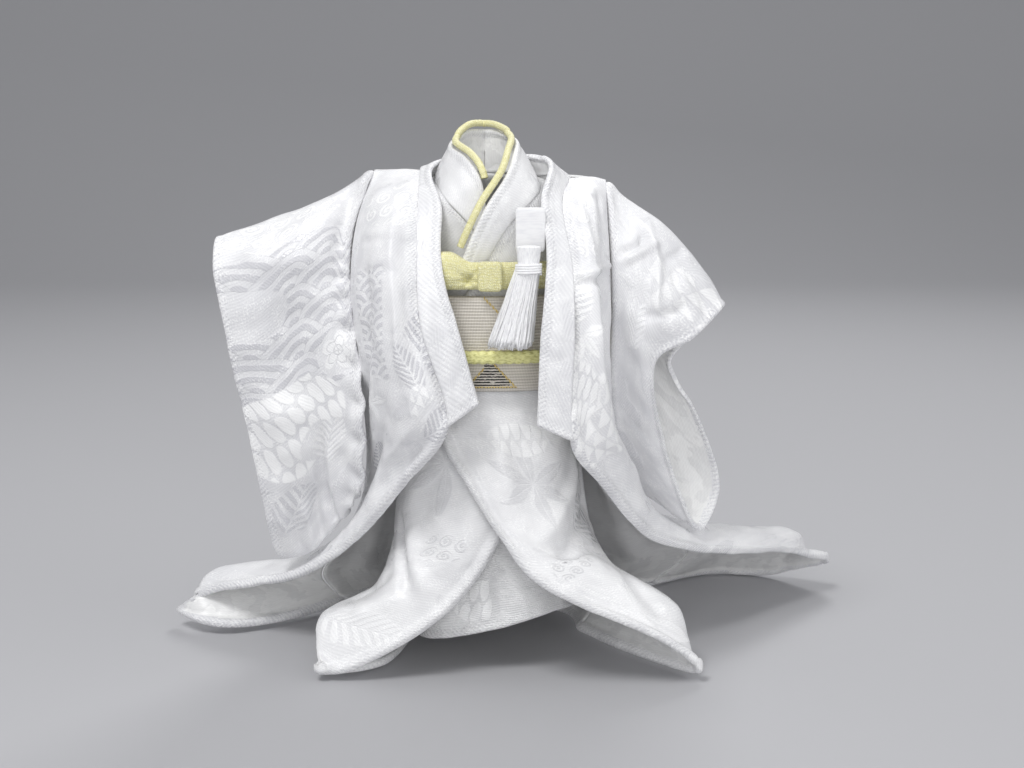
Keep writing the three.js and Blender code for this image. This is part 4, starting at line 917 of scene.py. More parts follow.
def blossom(x: Field, y: Field, pitch: float) -> Field:
    """A round blossom of five petals whose edge swells as |cos|, with a ring and a dot at its heart."""
    radius = lengthwise(x, y)
    lobes = (y.act("ARCTAN2", x) * 2.5).act("COSINE").act("ABSOLUTE")
    rim = lobes * (0.42 * pitch) + 0.62 * pitch
    petal = (rim - radius).ramp(-SOFT, SOFT)
    line = (radius - rim * 0.72).act("ABSOLUTE").ramp(0.05, 0.14)
    heart = (radius - 0.26 * pitch).act("ABSOLUTE").ramp(0.05, 0.13)
    parted = (lobes * radius).ramp(0.05, 0.14)
    return petal * line * heart * parted


def scrolls(x: Field, y: Field, pitch: float) -> Field:
    """Curls in a brick pattern: each is a spiral line, the fraction of radius less a share of the angle."""
    row = (y / pitch).act("FLOOR")
    across = (x + (row * 0.5).act("FRACT") * pitch).centred(pitch)
    down = y - row * pitch - 0.5 * pitch
    radius = lengthwise(across, down)
    turned = down.act("ARCTAN2", across) / (2 * math.pi)
    coil = (radius / (0.26 * pitch) - turned).act("FRACT")
    return (coil - 0.5).act("ABSOLUTE").ramp(0.3, 0.2) * (radius / pitch).ramp(0.47, 0.42)


FIGURES: dict[Weave, Callable[[Field, Field, float], Field]] = {
    Weave.WAVES: waves,
    Weave.LEAVES: leaves,
    Weave.FERN: fern,
    Weave.PLUMES: plumes,
    Weave.LATTICE: lattice,
    Weave.BLOSSOM: blossom,
    Weave.SCROLLS: scrolls,
}


@dataclass(frozen=True)
class Patch:
    """Where one figure shows on the cloth: its middle and half sizes in millimetres, and its turn.

    shine is 0 where the figure's threads are painted darker than the ground and 1 where they are painted
    lighter: a painted sheen of their floats, laid into the colour with the figure.
    """

    weave: Weave
    middle: Pair
    half: Pair
    turn: float = 0.0
    pitch: float = 2.0
    square: bool = False
    shine: float = 0.15


class Recipe:
    """The nodes of one finish, from the cloth's own places to the shader."""

    def __init__(self, name: str) -> None:
        """Starts a material whose places are the cloth's, in millimetres."""
        self.material = bpy.data.materials.new(name)
        self.material.use_nodes = True
        self.tree = self.material.node_tree
        self.shader = next(n for n in self.tree.nodes if n.type == "BSDF_PRINCIPLED")
        source = self.tree.nodes.new("ShaderNodeUVMap")
        source.uv_map = "cloth"
        scaled = self.tree.nodes.new("ShaderNodeVectorMath")
        scaled.operation = "SCALE"
        scaled.inputs["Scale"].default_value = UV_SPAN
        self.tree.links.new(source.outputs[0], scaled.inputs[0])
        self.place = scaled.outputs[0]

    def stray(self, size: float, amount: float) -> None:
        """Lets the places stray a little, so that what is drawn on them has uneven outlines."""
        noise = self.tree.nodes.new("ShaderNodeTexNoise")
        noise.noise_dimensions = "2D"
        noise.inputs["Scale"].default_value = 1 / size
        noise.inputs["Detail"].default_value = 3.0
        noise.inputs["Roughness"].default_value = 0.65
        self.tree.links.new(self.place, noise.inputs["Vector"])
        strayed = self.tree.nodes.new("ShaderNodeVectorMath")
        strayed.operation = "MULTIPLY_ADD"
        strayed.inputs[1].default_value = (amount, amount, 0)
        self.tree.links.new(noise.outputs[1], strayed.inputs[0])
        self.tree.links.new(self.place, strayed.inputs[2])
        self.place = strayed.outputs[0]

    def edge(self) -> Field:
        """How far the point lies from the nearest turned edge, in millimetres."""
        node = self.tree.nodes.new("ShaderNodeAttribute")
        node.attribute_name = "edge"
        return Field(node.outputs[2])

    def even(self, value: float) -> Field:
        """The same number everywhere."""
        node = self.tree.nodes.new("ShaderNodeValue")
        node.outputs[0].default_value = value
        return Field(node.outputs[0])

    def axes(self, middle: Pair = (0, 0), turn: float = 0.0) -> tuple[Field, Field]:
        """The cloth's places as two numbers, about a middle and turned by degrees."""
        mapping = self.tree.nodes.new("ShaderNodeMapping")
        mapping.vector_type = "TEXTURE"
        mapping.inputs["Location"].default_value = (*middle, 0)
        mapping.inputs["Rotation"].default_value = (0, 0, math.radians(turn))
        self.tree.links.new(self.place, mapping.inputs["Vector"])
        parts = self.tree.nodes.new("ShaderNodeSeparateXYZ")
        self.tree.links.new(mapping.outputs[0], parts.inputs[0])
        return Field(parts.outputs[0]), Field(parts.outputs[1])

    def cloud(self, size: float, detail: float = 2.0, stretch: Pair = (1, 1)) -> Field:
        """Even, shapeless variation from 0 to 1, of a size in millimetres."""
        mapping = self.tree.nodes.new("ShaderNodeMapping")
        mapping.inputs["Scale"].default_value = (1 / (size * stretch[0]), 1 / (size * stretch[1]), 1)
        self.tree.links.new(self.place, mapping.inputs["Vector"])
        noise = self.tree.nodes.new("ShaderNodeTexNoise")
        noise.noise_dimensions = "2D"
        noise.inputs["Scale"].default_value = 1.0
        noise.inputs["Detail"].default_value = detail
        self.tree.links.new(mapping.outputs[0], noise.inputs["Vector"])
        return Field(noise.outputs[0])

    def colour(self, low: tuple, high: tuple, share: Field) -> bpy.types.NodeSocket:
        """A colour between two by a share."""
        node = self.tree.nodes.new("ShaderNodeMix")
        node.data_type = "RGBA"
        node.inputs[6].default_value, node.inputs[7].default_value = low, high
        self.tree.links.new(share.socket, node.inputs[0])
        return node.outputs[2]

    def recolour(self, under: bpy.types.NodeSocket, over: tuple, share: Field) -> bpy.types.NodeSocket:
        """A colour laid over another by a share."""
        node = self.tree.nodes.new("ShaderNodeMix")
        node.data_type = "RGBA"
        self.tree.links.new(under, node.inputs[6])
        node.inputs[7].default_value = over
        self.tree.links.new(share.socket, node.inputs[0])
        return node.outputs[2]

    def finish(self, colour: bpy.types.NodeSocket, roughness: Field, height: Field,
               constants: dict[str, float]) -> Material:
        """Joins colour, roughness and relief (in millimetres) to the shader.

        Args:
            colour: the base colour.
            roughness: from 0 to 1.
            height: the relief, in millimetres.
            constants: the shader's own even values, by socket name.

        Returns:
            The material.
        """
        link = self.tree.links.new
        link(colour, self.shader.inputs["Base Color"])
        link(roughness.socket, self.shader.inputs["Roughness"])
        bump = self.tree.nodes.new("ShaderNodeBump")
        bump.inputs["Distance"].default_value = MM
        bump.inputs["Strength"].default_value = 1.0
        link(height.socket, bump.inputs["Height"])
        link(bump.outputs[0], self.shader.inputs["Normal"])
        for name, value in constants.items():
            self.shader.inputs[name].default_value = value
        return self.material


def silky(gloss: float, sheen: float) -> dict[str, float]:
    """The shader's even values for silk."""
    return {"Specular IOR Level": gloss, "Sheen Weight": sheen, "Sheen Roughness": 0.4}


@dataclass(frozen=True)
class Damask:
    """White satin with figures: ground and figure are the same silk, floated two ways. The figures' lighter
    or darker tone is painted sheen, and small painted glints brighten the colour.
    """

    deep: Shade = (186, 186, 193)
    bright: Shade = (253, 253, 253)
    ground_rough: float = 0.4
    figure_rough: float = 0.24
    twill: float = 0.4
    slant: float = 32.0
    relief: float = 0.012
    hem: float = 0.5

    def material(self, name: str, patches: tuple[Patch, ...]) -> Material:
        """The finish with its patches of figure, one laid over the last."""
        recipe = Recipe(name)
        threads_x, _ = recipe.axes(turn=self.slant)
        floats_x, _ = recipe.axes(turn=-self.slant - 20.0)
        hem_x, _ = recipe.axes(turn=50.0)
        mottle = recipe.cloud(5.0, 2.0)
        grain = recipe.cloud(0.34, 2.0, (1.0, 0.5))
        lit = recipe.cloud(2.6, 3.0)
        recipe.stray(1.5, 0.34)
        shown = recipe.cloud(7.0, 3.0).ramp(0.54, 0.62)
        # light is the figure's tone, painted lighter or darker than the ground as a painted sheen of the
        # satin.
        light = recipe.even(0.54)
        for patch in patches:
            px, py = recipe.axes(patch.middle, patch.turn)
            if patch.square:
                reach = (px / patch.half[0]).act("ABSOLUTE").act(
                    "MAXIMUM", (py / patch.half[1]).act("ABSOLUTE"))
            else:
                reach = lengthwise(px / patch.half[0], py / patch.half[1])
            soft = SOFT / min(patch.half)
            inside = reach.ramp(1 + soft, 1 - soft)
            drawn = FIGURES[patch.weave](px, py, patch.pitch) if patch.weave in FIGURES else 0.0
            shown = shown.blend(drawn, inside)
            light = light.blend(patch.shine, inside)
        threads = threads_x.wave(self.twill).blend(floats_x.wave(self.twill * 0.8), shown)
        # Painted glints: small specks of painted highlight where the floats catch the light, brightened into
        # the colour and made smoother.
        painted_glints = lit.ramp(0.42, 0.6) * grain.ramp(0.55, 0.63)
        hemmed = recipe.edge().ramp(1.7, 1.2)
        rope = hem_x.wave(self.hem) * 0.5 + grain.ramp(0.35, 0.65) * 0.5
        ground = mottle * 0.5 + 0.38
        tone = ground.blend(light, shown) + (threads - 0.5) * 0.12 + painted_glints * 0.34
        tone = tone + hemmed * (rope - 0.5) * 0.42
        share = tone.act("MULTIPLY", 1.0, clamp=True)
        colour = recipe.colour(linear(*self.deep), linear(*self.bright), share)
        rough = shown.act("MULTIPLY_ADD", self.figure_rough - self.ground_rough, self.ground_rough)
        height = threads * self.relief + shown * 0.04 + grain * 0.03 + hemmed * rope * 0.05
        return recipe.finish(colour, rough - painted_glints * 0.16, height, silky(0.55, 0.12))


@dataclass(frozen=True)
class Lining:
    """Satin on the inside: fine ribs across the cloth, and a figured facing along the edges."""

    shade: Shade = (249, 249, 248)
    deep: Shade = (226, 226, 226)
    rough: float = 0.38

    def material(self, name: str) -> Material:
        """The finish."""
        recipe = Recipe(name)
        x, y = recipe.axes()
        ribs = (x * 0.5 + y).wave(0.34)
        floats = recipe.cloud(0.5, 2.0, (3.0, 0.5))
        soft = recipe.cloud(6.0, 2.0)
        facing = recipe.edge().ramp(14.0, 9.0) * recipe.cloud(3.4, 3.0).ramp(0.5, 0.55)
        tone = ribs * 0.14 + soft * 0.6 + floats.ramp(0.4, 0.6) * 0.2 - facing * 0.4 + 0.1
        colour = recipe.colour(linear(*self.deep), linear(*self.shade), tone)
        rough = soft * 0.14 + (self.rough - 0.07)
        height = ribs * 0.004 + floats * 0.02 + facing * 0.03
        return recipe.finish(colour, rough, height, silky(0.55, 0.1))


@dataclass(frozen=True)
class Crepe:
    """Pale silk with a close, pebbled grain, as on the sash and the collar's piping."""

    shade: Shade = (248, 245, 206)
    deep: Shade = (222, 216, 150)
    grain: float = 0.28
    relief: float = 0.06

    def material(self, name: str) -> Material:
        """The finish."""
        recipe = Recipe(name)
        x, y = recipe.axes()
        bent = recipe.cloud(0.9, 2.0) * 0.7
        pebbles = (x + bent).wave(self.grain) * (y + bent).wave(self.grain * 0.8)
        rough_grain = recipe.cloud(0.4, 3.0)
        height = pebbles * 0.6 + rough_grain * 0.6
        colour = recipe.colour(linear(*self.deep), linear(*self.shade), height.ramp(0.2, 0.75))
        return recipe.finish(colour, rough_grain * 0.2 + 0.42, height * self.relief, silky(0.5, 0.25))


@dataclass(frozen=True)
class BeltCloth:
    """The belt's ribbed weave: fine ribs round it, and a figure in gilt and black at the front."""

    shade: Shade = (231, 226, 217)
    deep: Shade = (180, 172, 162)
    gilt: Shade = (206, 180, 104)
    dark: Shade = (34, 30, 24)
    rib: float = 0.42
    bar: float = 0.4
    tall: float = 5.4
    slope: float = 1.4
    girth: float = 91.2

    def material(self, name: str, corner: Pair,
                 line: Pair) -> Material:
        """The finish.

        Args:
            name: the material's name.
            corner: where the middle of the triangle's foot lies on the cloth, in millimetres.
            line: where the slanting gilt line passes.

        Returns:
            The material.
        """
        recipe = Recipe(name)
        x, y = recipe.axes()
        ribs, knots = y.wave(self.rib), x.wave(0.4)
        soft = recipe.cloud(3.0, 2.0)
        cloth = recipe.colour(linear(*self.deep), linear(*self.shade),
                              ribs.ramp(0.1, 0.7) * 0.6 + knots * 0.15 + soft * 0.25)
        recipe.stray(0.5, 0.16)
        tx, ty = recipe.axes(corner)
        side = tx.centred(self.girth).act("ABSOLUTE") * self.slope + ty
        inside = side.ramp(self.tall + 0.06, self.tall - 0.06) * ty.ramp(-0.08, 0.02)
        rim = inside - side.ramp(self.tall - 0.45, self.tall - 0.6) * ty.ramp(0.16, 0.24)
        bars = (ty + 0.1).wave(self.bar).ramp(0.3, 0.46) * recipe.cloud(0.8, 2.0, (1.6, 0.5)).ramp(0.3, 0.4)
        near = side.ramp(self.tall + 1.4, self.tall) * ty.ramp(2.4, 3.4)
        flecks = recipe.cloud(0.45, 1.0).ramp(0.62, 0.66) * near
        colour = recipe.recolour(cloth, linear(*self.dark), (inside * bars).act("MAXIMUM", flecks * 0.8))
        lx, ly = recipe.axes(line, -48.0)
        stroke = ly.act("ABSOLUTE").ramp(0.2, 0.12) * lx.act("ABSOLUTE").ramp(1.9, 1.8)
        gold = rim.act("MAXIMUM", stroke) * knots.ramp(0.05, 0.3)
        colour = recipe.recolour(colour, linear(*self.gilt), gold)
        return recipe.finish(colour, 0.55 - gold * 0.25, ribs * 0.045 + knots * 0.015, {
            "Specular IOR Level": 0.5, "Sheen Weight": 0.1})


@dataclass(frozen=True)
class Floss:
    """Untwisted silk: fine fibres along the strand."""

    shade: Shade = (255, 255, 255)
    deep: Shade = (232, 232, 235)
    fibre: float = 0.16
    relief: float = 0.03
    rough: float = 0.45

    def material(self, name: str) -> Material:
        """The finish."""
        recipe = Recipe(name)
        fibres = recipe.cloud(self.fibre, 2.0, (1.0, 6.0))
        soft = recipe.cloud(1.6, 2.0)
        share = fibres.ramp(0.3, 0.6) * 0.7 + soft * 0.3
        colour = recipe.colour(linear(*self.deep), linear(*self.shade), share)
        return recipe.finish(colour, fibres * 0.2 + (self.rough - 0.1), fibres * self.relief, silky(0.5, 0.2))


@dataclass(frozen=True)
class Braid:
    """Braided silk cord: slanting plaits that meet along its middle."""

    shade: Shade = (240, 238, 170)
    deep: Shade = (188, 184, 104)

    def material(self, name: str) -> Material:
        """The finish; the plaits are in the mesh, and the fibres on them here."""
        recipe = Recipe(name)
        fibres = recipe.cloud(0.2, 2.0, (1.0, 3.0))
        colour = recipe.colour(linear(*self.deep), linear(*self.shade), fibres.ramp(0.2, 0.6))
        return recipe.finish(colour, fibres * 0.2 + 0.4, fibres * 0.06, silky(0.5, 0.2))


# ---------------------------------------------------------------- creases, figures and cuts


@dataclass
class Cut:
    """The flat size of a piece before it was sewn, in metres: its width and length, and its area."""

    flat: Pair
    area: float

    def declare(self, piece: bpy.types.Object, held: str, rests_on: tuple[str, ...] = ()) -> None:
        """Takes the piece, how it is held and what it rests on, and does nothing with them."""


CREASES: dict[str, tuple[Crease, ...]] = {
    "robe_front_right": (
        Crease(((0.53, 0.071), (0.475, 0.212), (0.618, 0.343), (0.738, 0.436)), 2.6, 0.8),
        Crease(((0.057, 0.2), (0.182, 0.332), (0.381, 0.417), (0.372, 0.515)), 2.4, -0.9),
        Crease(((0.715, 0.278), (0.755, 0.366), (0.951, 0.436), (0.83, 0.558)), 1.4, -0.7),
        Crease(((0.241, 0.614), (0.222, 0.549), (0.191, 0.467)), 1.2, -0.6),
        Crease(((0.346, 0.238), (0.337, 0.303), (0.384, 0.357), (0.437, 0.4)), 0.5, 0.35),
        Crease(((0.826, 0.169), (0.416, 0.181), (0.034, 0.187)), 0.5, -0.4),
        Crease(((0.826, 0.157), (0.417, 0.175), (0.017, 0.181)), 0.6, 0.3),
        Crease(((0.781, 0.231), (0.542, 0.231), (0.299, 0.238)), 0.4, -0.25),
        Crease(((0.377, 0.042), (0.034, 0.089), (0.035, 0.133)), 1.4, 0.5),
        Crease(((0.026, 0.366), (0.021, 0.404), (0.033, 0.441)), 1.2, -0.5),
    ),
    "robe_front_left": (
        Crease(((0.036, 0.241), (0.269, 0.241), (0.74, 0.219), (0.978, 0.199)), 0.6, 0.7),
        Crease(((0.059, 0.255), (0.319, 0.255), (0.84, 0.226)), 0.7, -0.7),
        Crease(((0.058, 0.27), (0.051, 0.348), (0.218, 0.408), (0.301, 0.482)), 1.5, -0.9),
        Crease(((0.258, 0.285), (0.335, 0.368), (0.478, 0.449), (0.309, 0.586)), 1.6, 0.8),
        Crease(((0.759, 0.255), (0.749, 0.358), (0.759, 0.455), (0.433, 0.595)), 1.1, -0.8),
        Crease(((0.793, 0.045), (0.771, 0.14), (0.901, 0.192)), 1.0, -0.7),
        Crease(((0.562, 0.083), (0.531, 0.147), (0.48, 0.212)), 1.0, 0.6),
        Crease(((0.179, 0.105), (0.215, 0.173), (0.17, 0.226)), 1.2, -0.5),
        Crease(((0.058, 0.413), (0.054, 0.438)), 1.2, 0.5),
    ),
    "robe_sleeve_right": (
        Crease(((0.055, 0.152), (0.121, 0.065), (0.799, 0)), 1.4, -0.9),
        Crease(((0.313, 0.313), (0.355, 0.349), (0.402, 0.278), (0.458, 0.186)), 0.9, -1.3),
        Crease(((0.331, 0.255), (0.378, 0.232), (0.46, 0.104)), 1.0, 0.6),
        Crease(((0.279, 0.104), (0.333, 0.152), (0.383, 0.164)), 0.9, -0.4),
        Crease(((0.36, 0.42), (0.404, 0.42), (0.477, 0.361)), 0.8, -0.8),
        Crease(((0.369, 0.576), (0.411, 0.528), (0.469, 0.54)), 0.9, 0.5),
        Crease(((0.365, 0.686), (0.395, 0.698), (0.449, 0.673)), 1.0, -0.7),
        Crease(((0.326, 0.785), (0.369, 0.809), (0.419, 0.772)), 1.6, 0.6),
        Crease(((0.142, 0.797), (0.238, 0.809), (0.318, 0.822)), 3.0, 0.5),
        Crease(((0.179, 0.492), (0.24, 0.48), (0.287, 0.516)), 3.4, -0.7),
        Crease(((0.275, 0.723), (0.309, 0.612), (0.344, 0.564)), 3.2, 0.9),
        Crease(((0.072, 0.834), (0.109, 0.576), (0.129, 0.29), (0.127, 0.104)), 1.6, 0.4),
    ),
    "robe_sleeve_left": (
        Crease(((0.145, 0.079), (0.114, 0.198), (0.078, 0.302), (0.053, 0.372)), 0.6, -1.3),
        Crease(((0.154, 0.102), (0.117, 0.245), (0.081, 0.36), (0.055, 0.475)), 0.7, 0.9),
        Crease(((0.026, 0.127), (0.065, 0.156), (0.087, 0.21)), 2.6, -1.3),
        Crease(((0.023, 0.349), (0.066, 0.383), (0.09, 0.486), (0.13, 0.587), (0.155, 0.828)), 0.7, 0.6),
        Crease(((0.05, 0.291), (0.091, 0.337), (0.123, 0.475)), 0.7, -0.5),
        Crease(((0.061, 0.666), (0.066, 0.796), (0.067, 0.945)), 0.7, 0.5),
        Crease(((0.07, 0.61), (0.077, 0.742), (0.084, 0.906)), 0.6, -0.4),
        Crease(((0.177, 0.509), (0.129, 0.721), (0.078, 0.828)), 0.8, -0.45),
        Crease(((0.075, 0.52), (0.045, 0.621), (0.015, 0.677)), 0.8, -0.5),
        Crease(((0.184, 0.245), (0.214, 0.349), (0.223, 0.531)), 1.4, 0.5),
    ),
    "kimono_front_right": (
        Crease(((0.878, 0.633), (0.692, 0.696), (0.474, 0.757), (0.246, 0.79)), 0.9, -1.2),
        Crease(((0.649, 0.657), (0.488, 0.73), (0.199, 0.776)), 1.2, 0.7),
        Crease(((0.535, 0.582), (0.526, 0.672), (0.307, 0.748)), 2.2, -0.6),
        Crease(((0.666, 0.841), (0.719, 0.804), (0.546, 0.753)), 1.0, -0.7),
        Crease(((0.351, 0.848), (0.366, 0.821), (0.347, 0.79)), 1.4, 0.5),
    ),
    "kimono_front_left": (
        Crease(((0.809, 0.533), (0.751, 0.594), (0.474, 0.645), (0.183, 0.698)), 1.5, 0.8),
        Crease(((0.962, 0.572), (0.925, 0.635), (0.542, 0.681), (0.186, 0.782)), 1.5, -0.9),
        Crease(((0.992, 0.588), (0.992, 0.675), (0.564, 0.815)), 1.6, 0.7),
        Crease(((0.411, 0.507), (0.37, 0.577), (0.299, 0.66)), 2.6, -0.5),
        Crease(((0.73, 0.794), (0.405, 0.85), (0.26, 0.885)), 1.6, -0.6),
        Crease(((0.303, 0.507), (0.28, 0.561), (0.266, 0.615)), 1.4, 0.4),
    ),
    "underskirt": (
        Crease(((0.981, 0.633), (0.981, 0.79), (0.985, 0.932)), 1.4, 0.6),
        Crease(((0.015, 0.676), (0.015, 0.804), (0.02, 0.96)), 1.2, -0.6),
        Crease(((0.051, 0.762), (0.056, 0.861), (0.061, 0.994)), 1.2, 0.4),
    ),
}

# The figures down the back, the same on both of its lengths.
BACK_FIGURES = (
    Patch(Weave.LEAVES, (-6.0, -14.0), (5.0, 5.0), 20, 2.6, False, 0.86),
    Patch(Weave.WAVES, (6.0, -27.0), (7.0, 6.0), 0, 4.2, False, 0.36),
    Patch(Weave.FERN, (-6.0, -38.0), (4.0, 7.0), 18, 2.4, False, 0.84),
    Patch(Weave.SCROLLS, (6.0, -50.0), (5.0, 4.5), 0, 2.6, False, 0.9),
    Patch(Weave.PLUMES, (-6.0, -61.0), (6.0, 6.0), 100, 1.7, False, 0.94),
    Patch(Weave.WAVES, (7.0, -73.0), (7.0, 6.0), 0, 4.2, False, 0.36),
)

PATCHES: dict[str, tuple[Patch, ...]] = {
    "robe_front_right": (
        Patch(Weave.SCROLLS, (-4.5, -9.8), (6, 4.2), 0, 2.8, False, 0.95),
        Patch(Weave.WAVES, (-0.8, -27.8), (3.5, 8.2), 0, 3.6, True, 0.32),
        Patch(Weave.LEAVES, (1.9, -39.1), (4.6, 4.6), 0, 2.3, False, 0.85),
        Patch(Weave.FERN, (-10.6, -30.8), (4.2, 7.5), 14, 2.3, False, 0.26),
        Patch(Weave.FERN, (-7.7, -34.2), (3, 5), -20, 1.6, False, 0.3),
        Patch(Weave.LATTICE, (-9.5, -39.6), (2.2, 3.4), -20, 1.6, False, 0.9),
        Patch(Weave.FERN, (-12.1, -41.2), (3, 4.6), 25, 1.7, False, 0.3),
        Patch(Weave.FERN, (-1.3, -51.8), (3, 4.5), -10, 1.7, False, 0.2),
    ),
    "robe_front_left": (
        Patch(Weave.SCROLLS, (-4.1, -11.9), (3.8, 6), 0, 2.6, False, 0.85),
        Patch(Weave.LATTICE, (-7.6, -36.8), (5.6, 10.5), -18, 2.5, True, 0.95),
        Patch(Weave.LEAVES, (-9.8, -28.1), (4.4, 5.4), 10, 2.3, False, 0.95),
        Patch(Weave.FERN, (-9.1, -23.0), (3, 6), -25, 2, False, 0.9),
        Patch(Weave.PLUMES, (-11.3, -35.2), (3.2, 4.2), -30, 1.1, False, 0.95),
    ),
    "robe_back_right": BACK_FIGURES,
    "robe_back_left": BACK_FIGURES,
    "robe_sleeve_right": (
        Patch(Weave.WAVES, (-37.4, -9.2), (14, 12.8), 90, 5.2, False, 0.34),
        Patch(Weave.PLAIN, (-41.2, -13.6), (3.9, 3.9), 90, 2, False, 0.2),
        Patch(Weave.SCROLLS, (-53.7, -11.1), (8, 3.4), 90, 2.6, False, 1),
        Patch(Weave.BLOSSOM, (-30.3, -2.9), (3.4, 3.4), 90, 2.8, False, 0.9),
        Patch(Weave.PLUMES, (-21.6, -10.9), (8.2, 7.6), 112, 1.7, False, 1),
        Patch(Weave.FERN, (-17.3, -5.6), (5, 3.4), 75, 2, False, 0.9),
        Patch(Weave.FERN, (-8.9, -12.2), (5, 4), 60, 2.6, False, 0.4),
        Patch(Weave.LEAVES, (16.0, -8.0), (4.6, 4.6), 90, 2.4, False, 0.88),
        Patch(Weave.WAVES, (30.0, -9.0), (9.0, 6.5), 90, 4.6, False, 0.36),
        Patch(Weave.PLUMES, (47.0, -9.0), (7.0, 6.0), 112, 1.7, False, 0.96),
    ),
    "robe_sleeve_left": (
        Patch(Weave.LEAVES, (-37.9, -5.2), (3.8, 3.8), 90, 2, False, 0.75),
        Patch(Weave.LATTICE, (-42.4, -10.5), (5, 3.6), 60, 2.3, True, 0.85),
        Patch(Weave.FERN, (-33.6, -6.5), (3.4, 3.4), 80, 1.8, False, 0.8),
        Patch(Weave.SCROLLS, (14.0, -6.0), (5.0, 4.0), 90, 2.6, False, 0.9),
        Patch(Weave.LATTICE, (28.0, -7.0), (6.0, 4.6), 60, 2.4, True, 0.88),
        Patch(Weave.FERN, (42.0, -8.0), (5.0, 4.4), 75, 2.2, False, 0.86),
    ),
    "kimono_front_right": (
        Patch(Weave.LEAVES, (-1.4, -44.3), (8.5, 8.5), 200, 4, False, 0.46),
        Patch(Weave.SCROLLS, (-6.3, -58.0), (3.4, 3), 0, 2.6, False, 0.46),
        Patch(Weave.FERN, (-8.0, -75.3), (4, 5), 60, 2.4, False, 0.8),
    ),
    "kimono_front_left": (
        Patch(Weave.LEAVES, (-3.2, -48.1), (8, 8), 28, 3.6, False, 0.44),
        Patch(Weave.PLUMES, (-2.9, -41.1), (4.6, 2.6), 0, 1.6, False, 0.85),
        Patch(Weave.FERN, (6.7, -55.6), (3.6, 6), 15, 2.6, False, 0.34),
        Patch(Weave.SCROLLS, (-8.7, -64.7), (3.6, 2), 10, 1.9, False, 0.44),
        Patch(Weave.LEAVES, (-10.3, -74.1), (6, 6), 40, 3.2, False, 0.7),
    ),
    "underskirt": (
        Patch(Weave.PLUMES, (38.6, -20.7), (5, 4), 0, 1.8, False, 1),
    ),
}

CUTS: dict[str, Cut] = {
    "robe_front_right": Cut((0.036, 0.116), 0.0018),
    "robe_front_left": Cut((0.040, 0.123), 0.0021),
    "robe_back_right": Cut((0.036, 0.090), 0.0024),
    "robe_back_left": Cut((0.037, 0.095), 0.0024),
    "robe_sleeve_right": Cut((0.026, 0.116), 0.0021),
    "robe_sleeve_left": Cut((0.026, 0.103), 0.0013),
    "kimono_front_right": Cut((0.029, 0.103), 0.0020),
    "kimono_front_left": Cut((0.030, 0.106), 0.0020),
    "kimono_back_right": Cut((0.024, 0.080), 0.0016),
    "kimono_back_left": Cut((0.024, 0.080), 0.0016),
    "kimono_sleeve_right": Cut((0.016, 0.030), 0.00034),
    "kimono_sleeve_left": Cut((0.012, 0.026), 0.00023),
    "underskirt": Cut((0.083, 0.028), 0.0020),
    "obi": Cut((0.092, 0.014), 0.0012),
}

# Where the belt's woven triangle and its slanting line lie on its cloth, in millimetres.
BELT_TRIANGLE = (-44.8, -12.9)
BELT_STROKE = (-42.9, -1.2)

# ---------------------------------------------------------------- the robe and the kimono


@dataclass(frozen=True)
class Body:
    """The four panels of a robe or a kimono, and the line its collar is sewn to.

    Where a front and a back are sewn together, from the row sewn_from on, the back takes the
    front's side line.
    """

    fronts: tuple[Array, Array]
    backs: tuple[Array, Array]
    sewn_from: int

    def front(self, hand: int) -> Lofted:
        """The front panel of a side: hand is -1 for the right and 1 for the left."""
        return Lofted(self.fronts[hand > 0])

    def back(self, hand: int) -> Lofted:
        """The back panel of a side."""
        front, back = self.fronts[hand > 0], self.backs[hand > 0]
        sewn = self.sewn_from / (len(front) - 1)
        armhole = np.concatenate([back[: self.sewn_from, 0], front[self.sewn_from : self.sewn_from + 1, 3]])

        def side(v: Array) -> Array:
            """The back's side line: the armhole above the sewn stretch, and the front's side below."""
            below = (v >= sewn)[:, None]
            return np.where(below, spline(front[:, 3], v), spline(armhole, v / sewn))

        return Lofted(back, first=side)

    def collar_seam(self, reach: float) -> Line:
        """The seam line of the collar: up the right edge, round the neck and down the left edge.

        Args:
            reach: how far down the panels it goes, as a share of their height.

        Returns:
            The line, from 0 at the right foot to 1 at the left foot.
        """
        bounds = np.array([0, 0.38, 0.5, 0.62, 1])
        neck = 2 / 3

        def seam(t: Array) -> Array:
            """The points of the seam at shares of its whole run."""
            t = np.clip(t, 0, 1)
            which = np.minimum(np.searchsorted(bounds, t, side="right") - 1, 3)
            share = (t - bounds[which]) / (bounds[which + 1] - bounds[which])
            edge, top = np.zeros((len(t), 1)), np.zeros(len(t))
            stretches = np.stack([
                self.front(-1).at(edge, reach * (1 - share))[:, 0],
                self.back(-1).at((neck + (1 - neck) * share)[:, None], top)[:, 0],
                self.back(1).at((1 + (neck - 1) * share)[:, None], top)[:, 0],
                self.front(1).at(edge, reach * share)[:, 0],
            ])
            return stretches[which, np.arange(len(t))]

        return seam


@dataclass(frozen=True)
class Band:
    """A collar band from its seam line to a smooth free edge, set off by a table of steps."""

    seam: Line
    steps: Array
    crown: float = 0.3
    lap: float = 0.08
    step: float = 0.22

    def at(self, u: Array, v: Array) -> Array:
        """The points: base + u * (free - base), raised by crown * sin(pi u) in the middle.

        The band laps a little over the panel that it is sewn to, a step above it.
        """
        base = self.seam(v)
        free = spline(self.seam(np.linspace(0, 1, len(self.steps))) + self.steps, v)
        ahead = self.seam(np.clip(v + 0.02, 0, 1)) - self.seam(np.clip(v - 0.02, 0, 1))
        outwards = unit(np.cross(free - base, ahead))
        u = np.broadcast_to(u, (len(v), np.shape(u)[-1]))[..., None] * (1 + self.lap) - self.lap
        rise = self.crown * np.sin(np.pi * np.clip(u, 0, 1)) + self.step * (1 - smooth(u / 0.4))
        return base[:, None] + (free - base)[:, None] * u + outwards[:, None] * rise


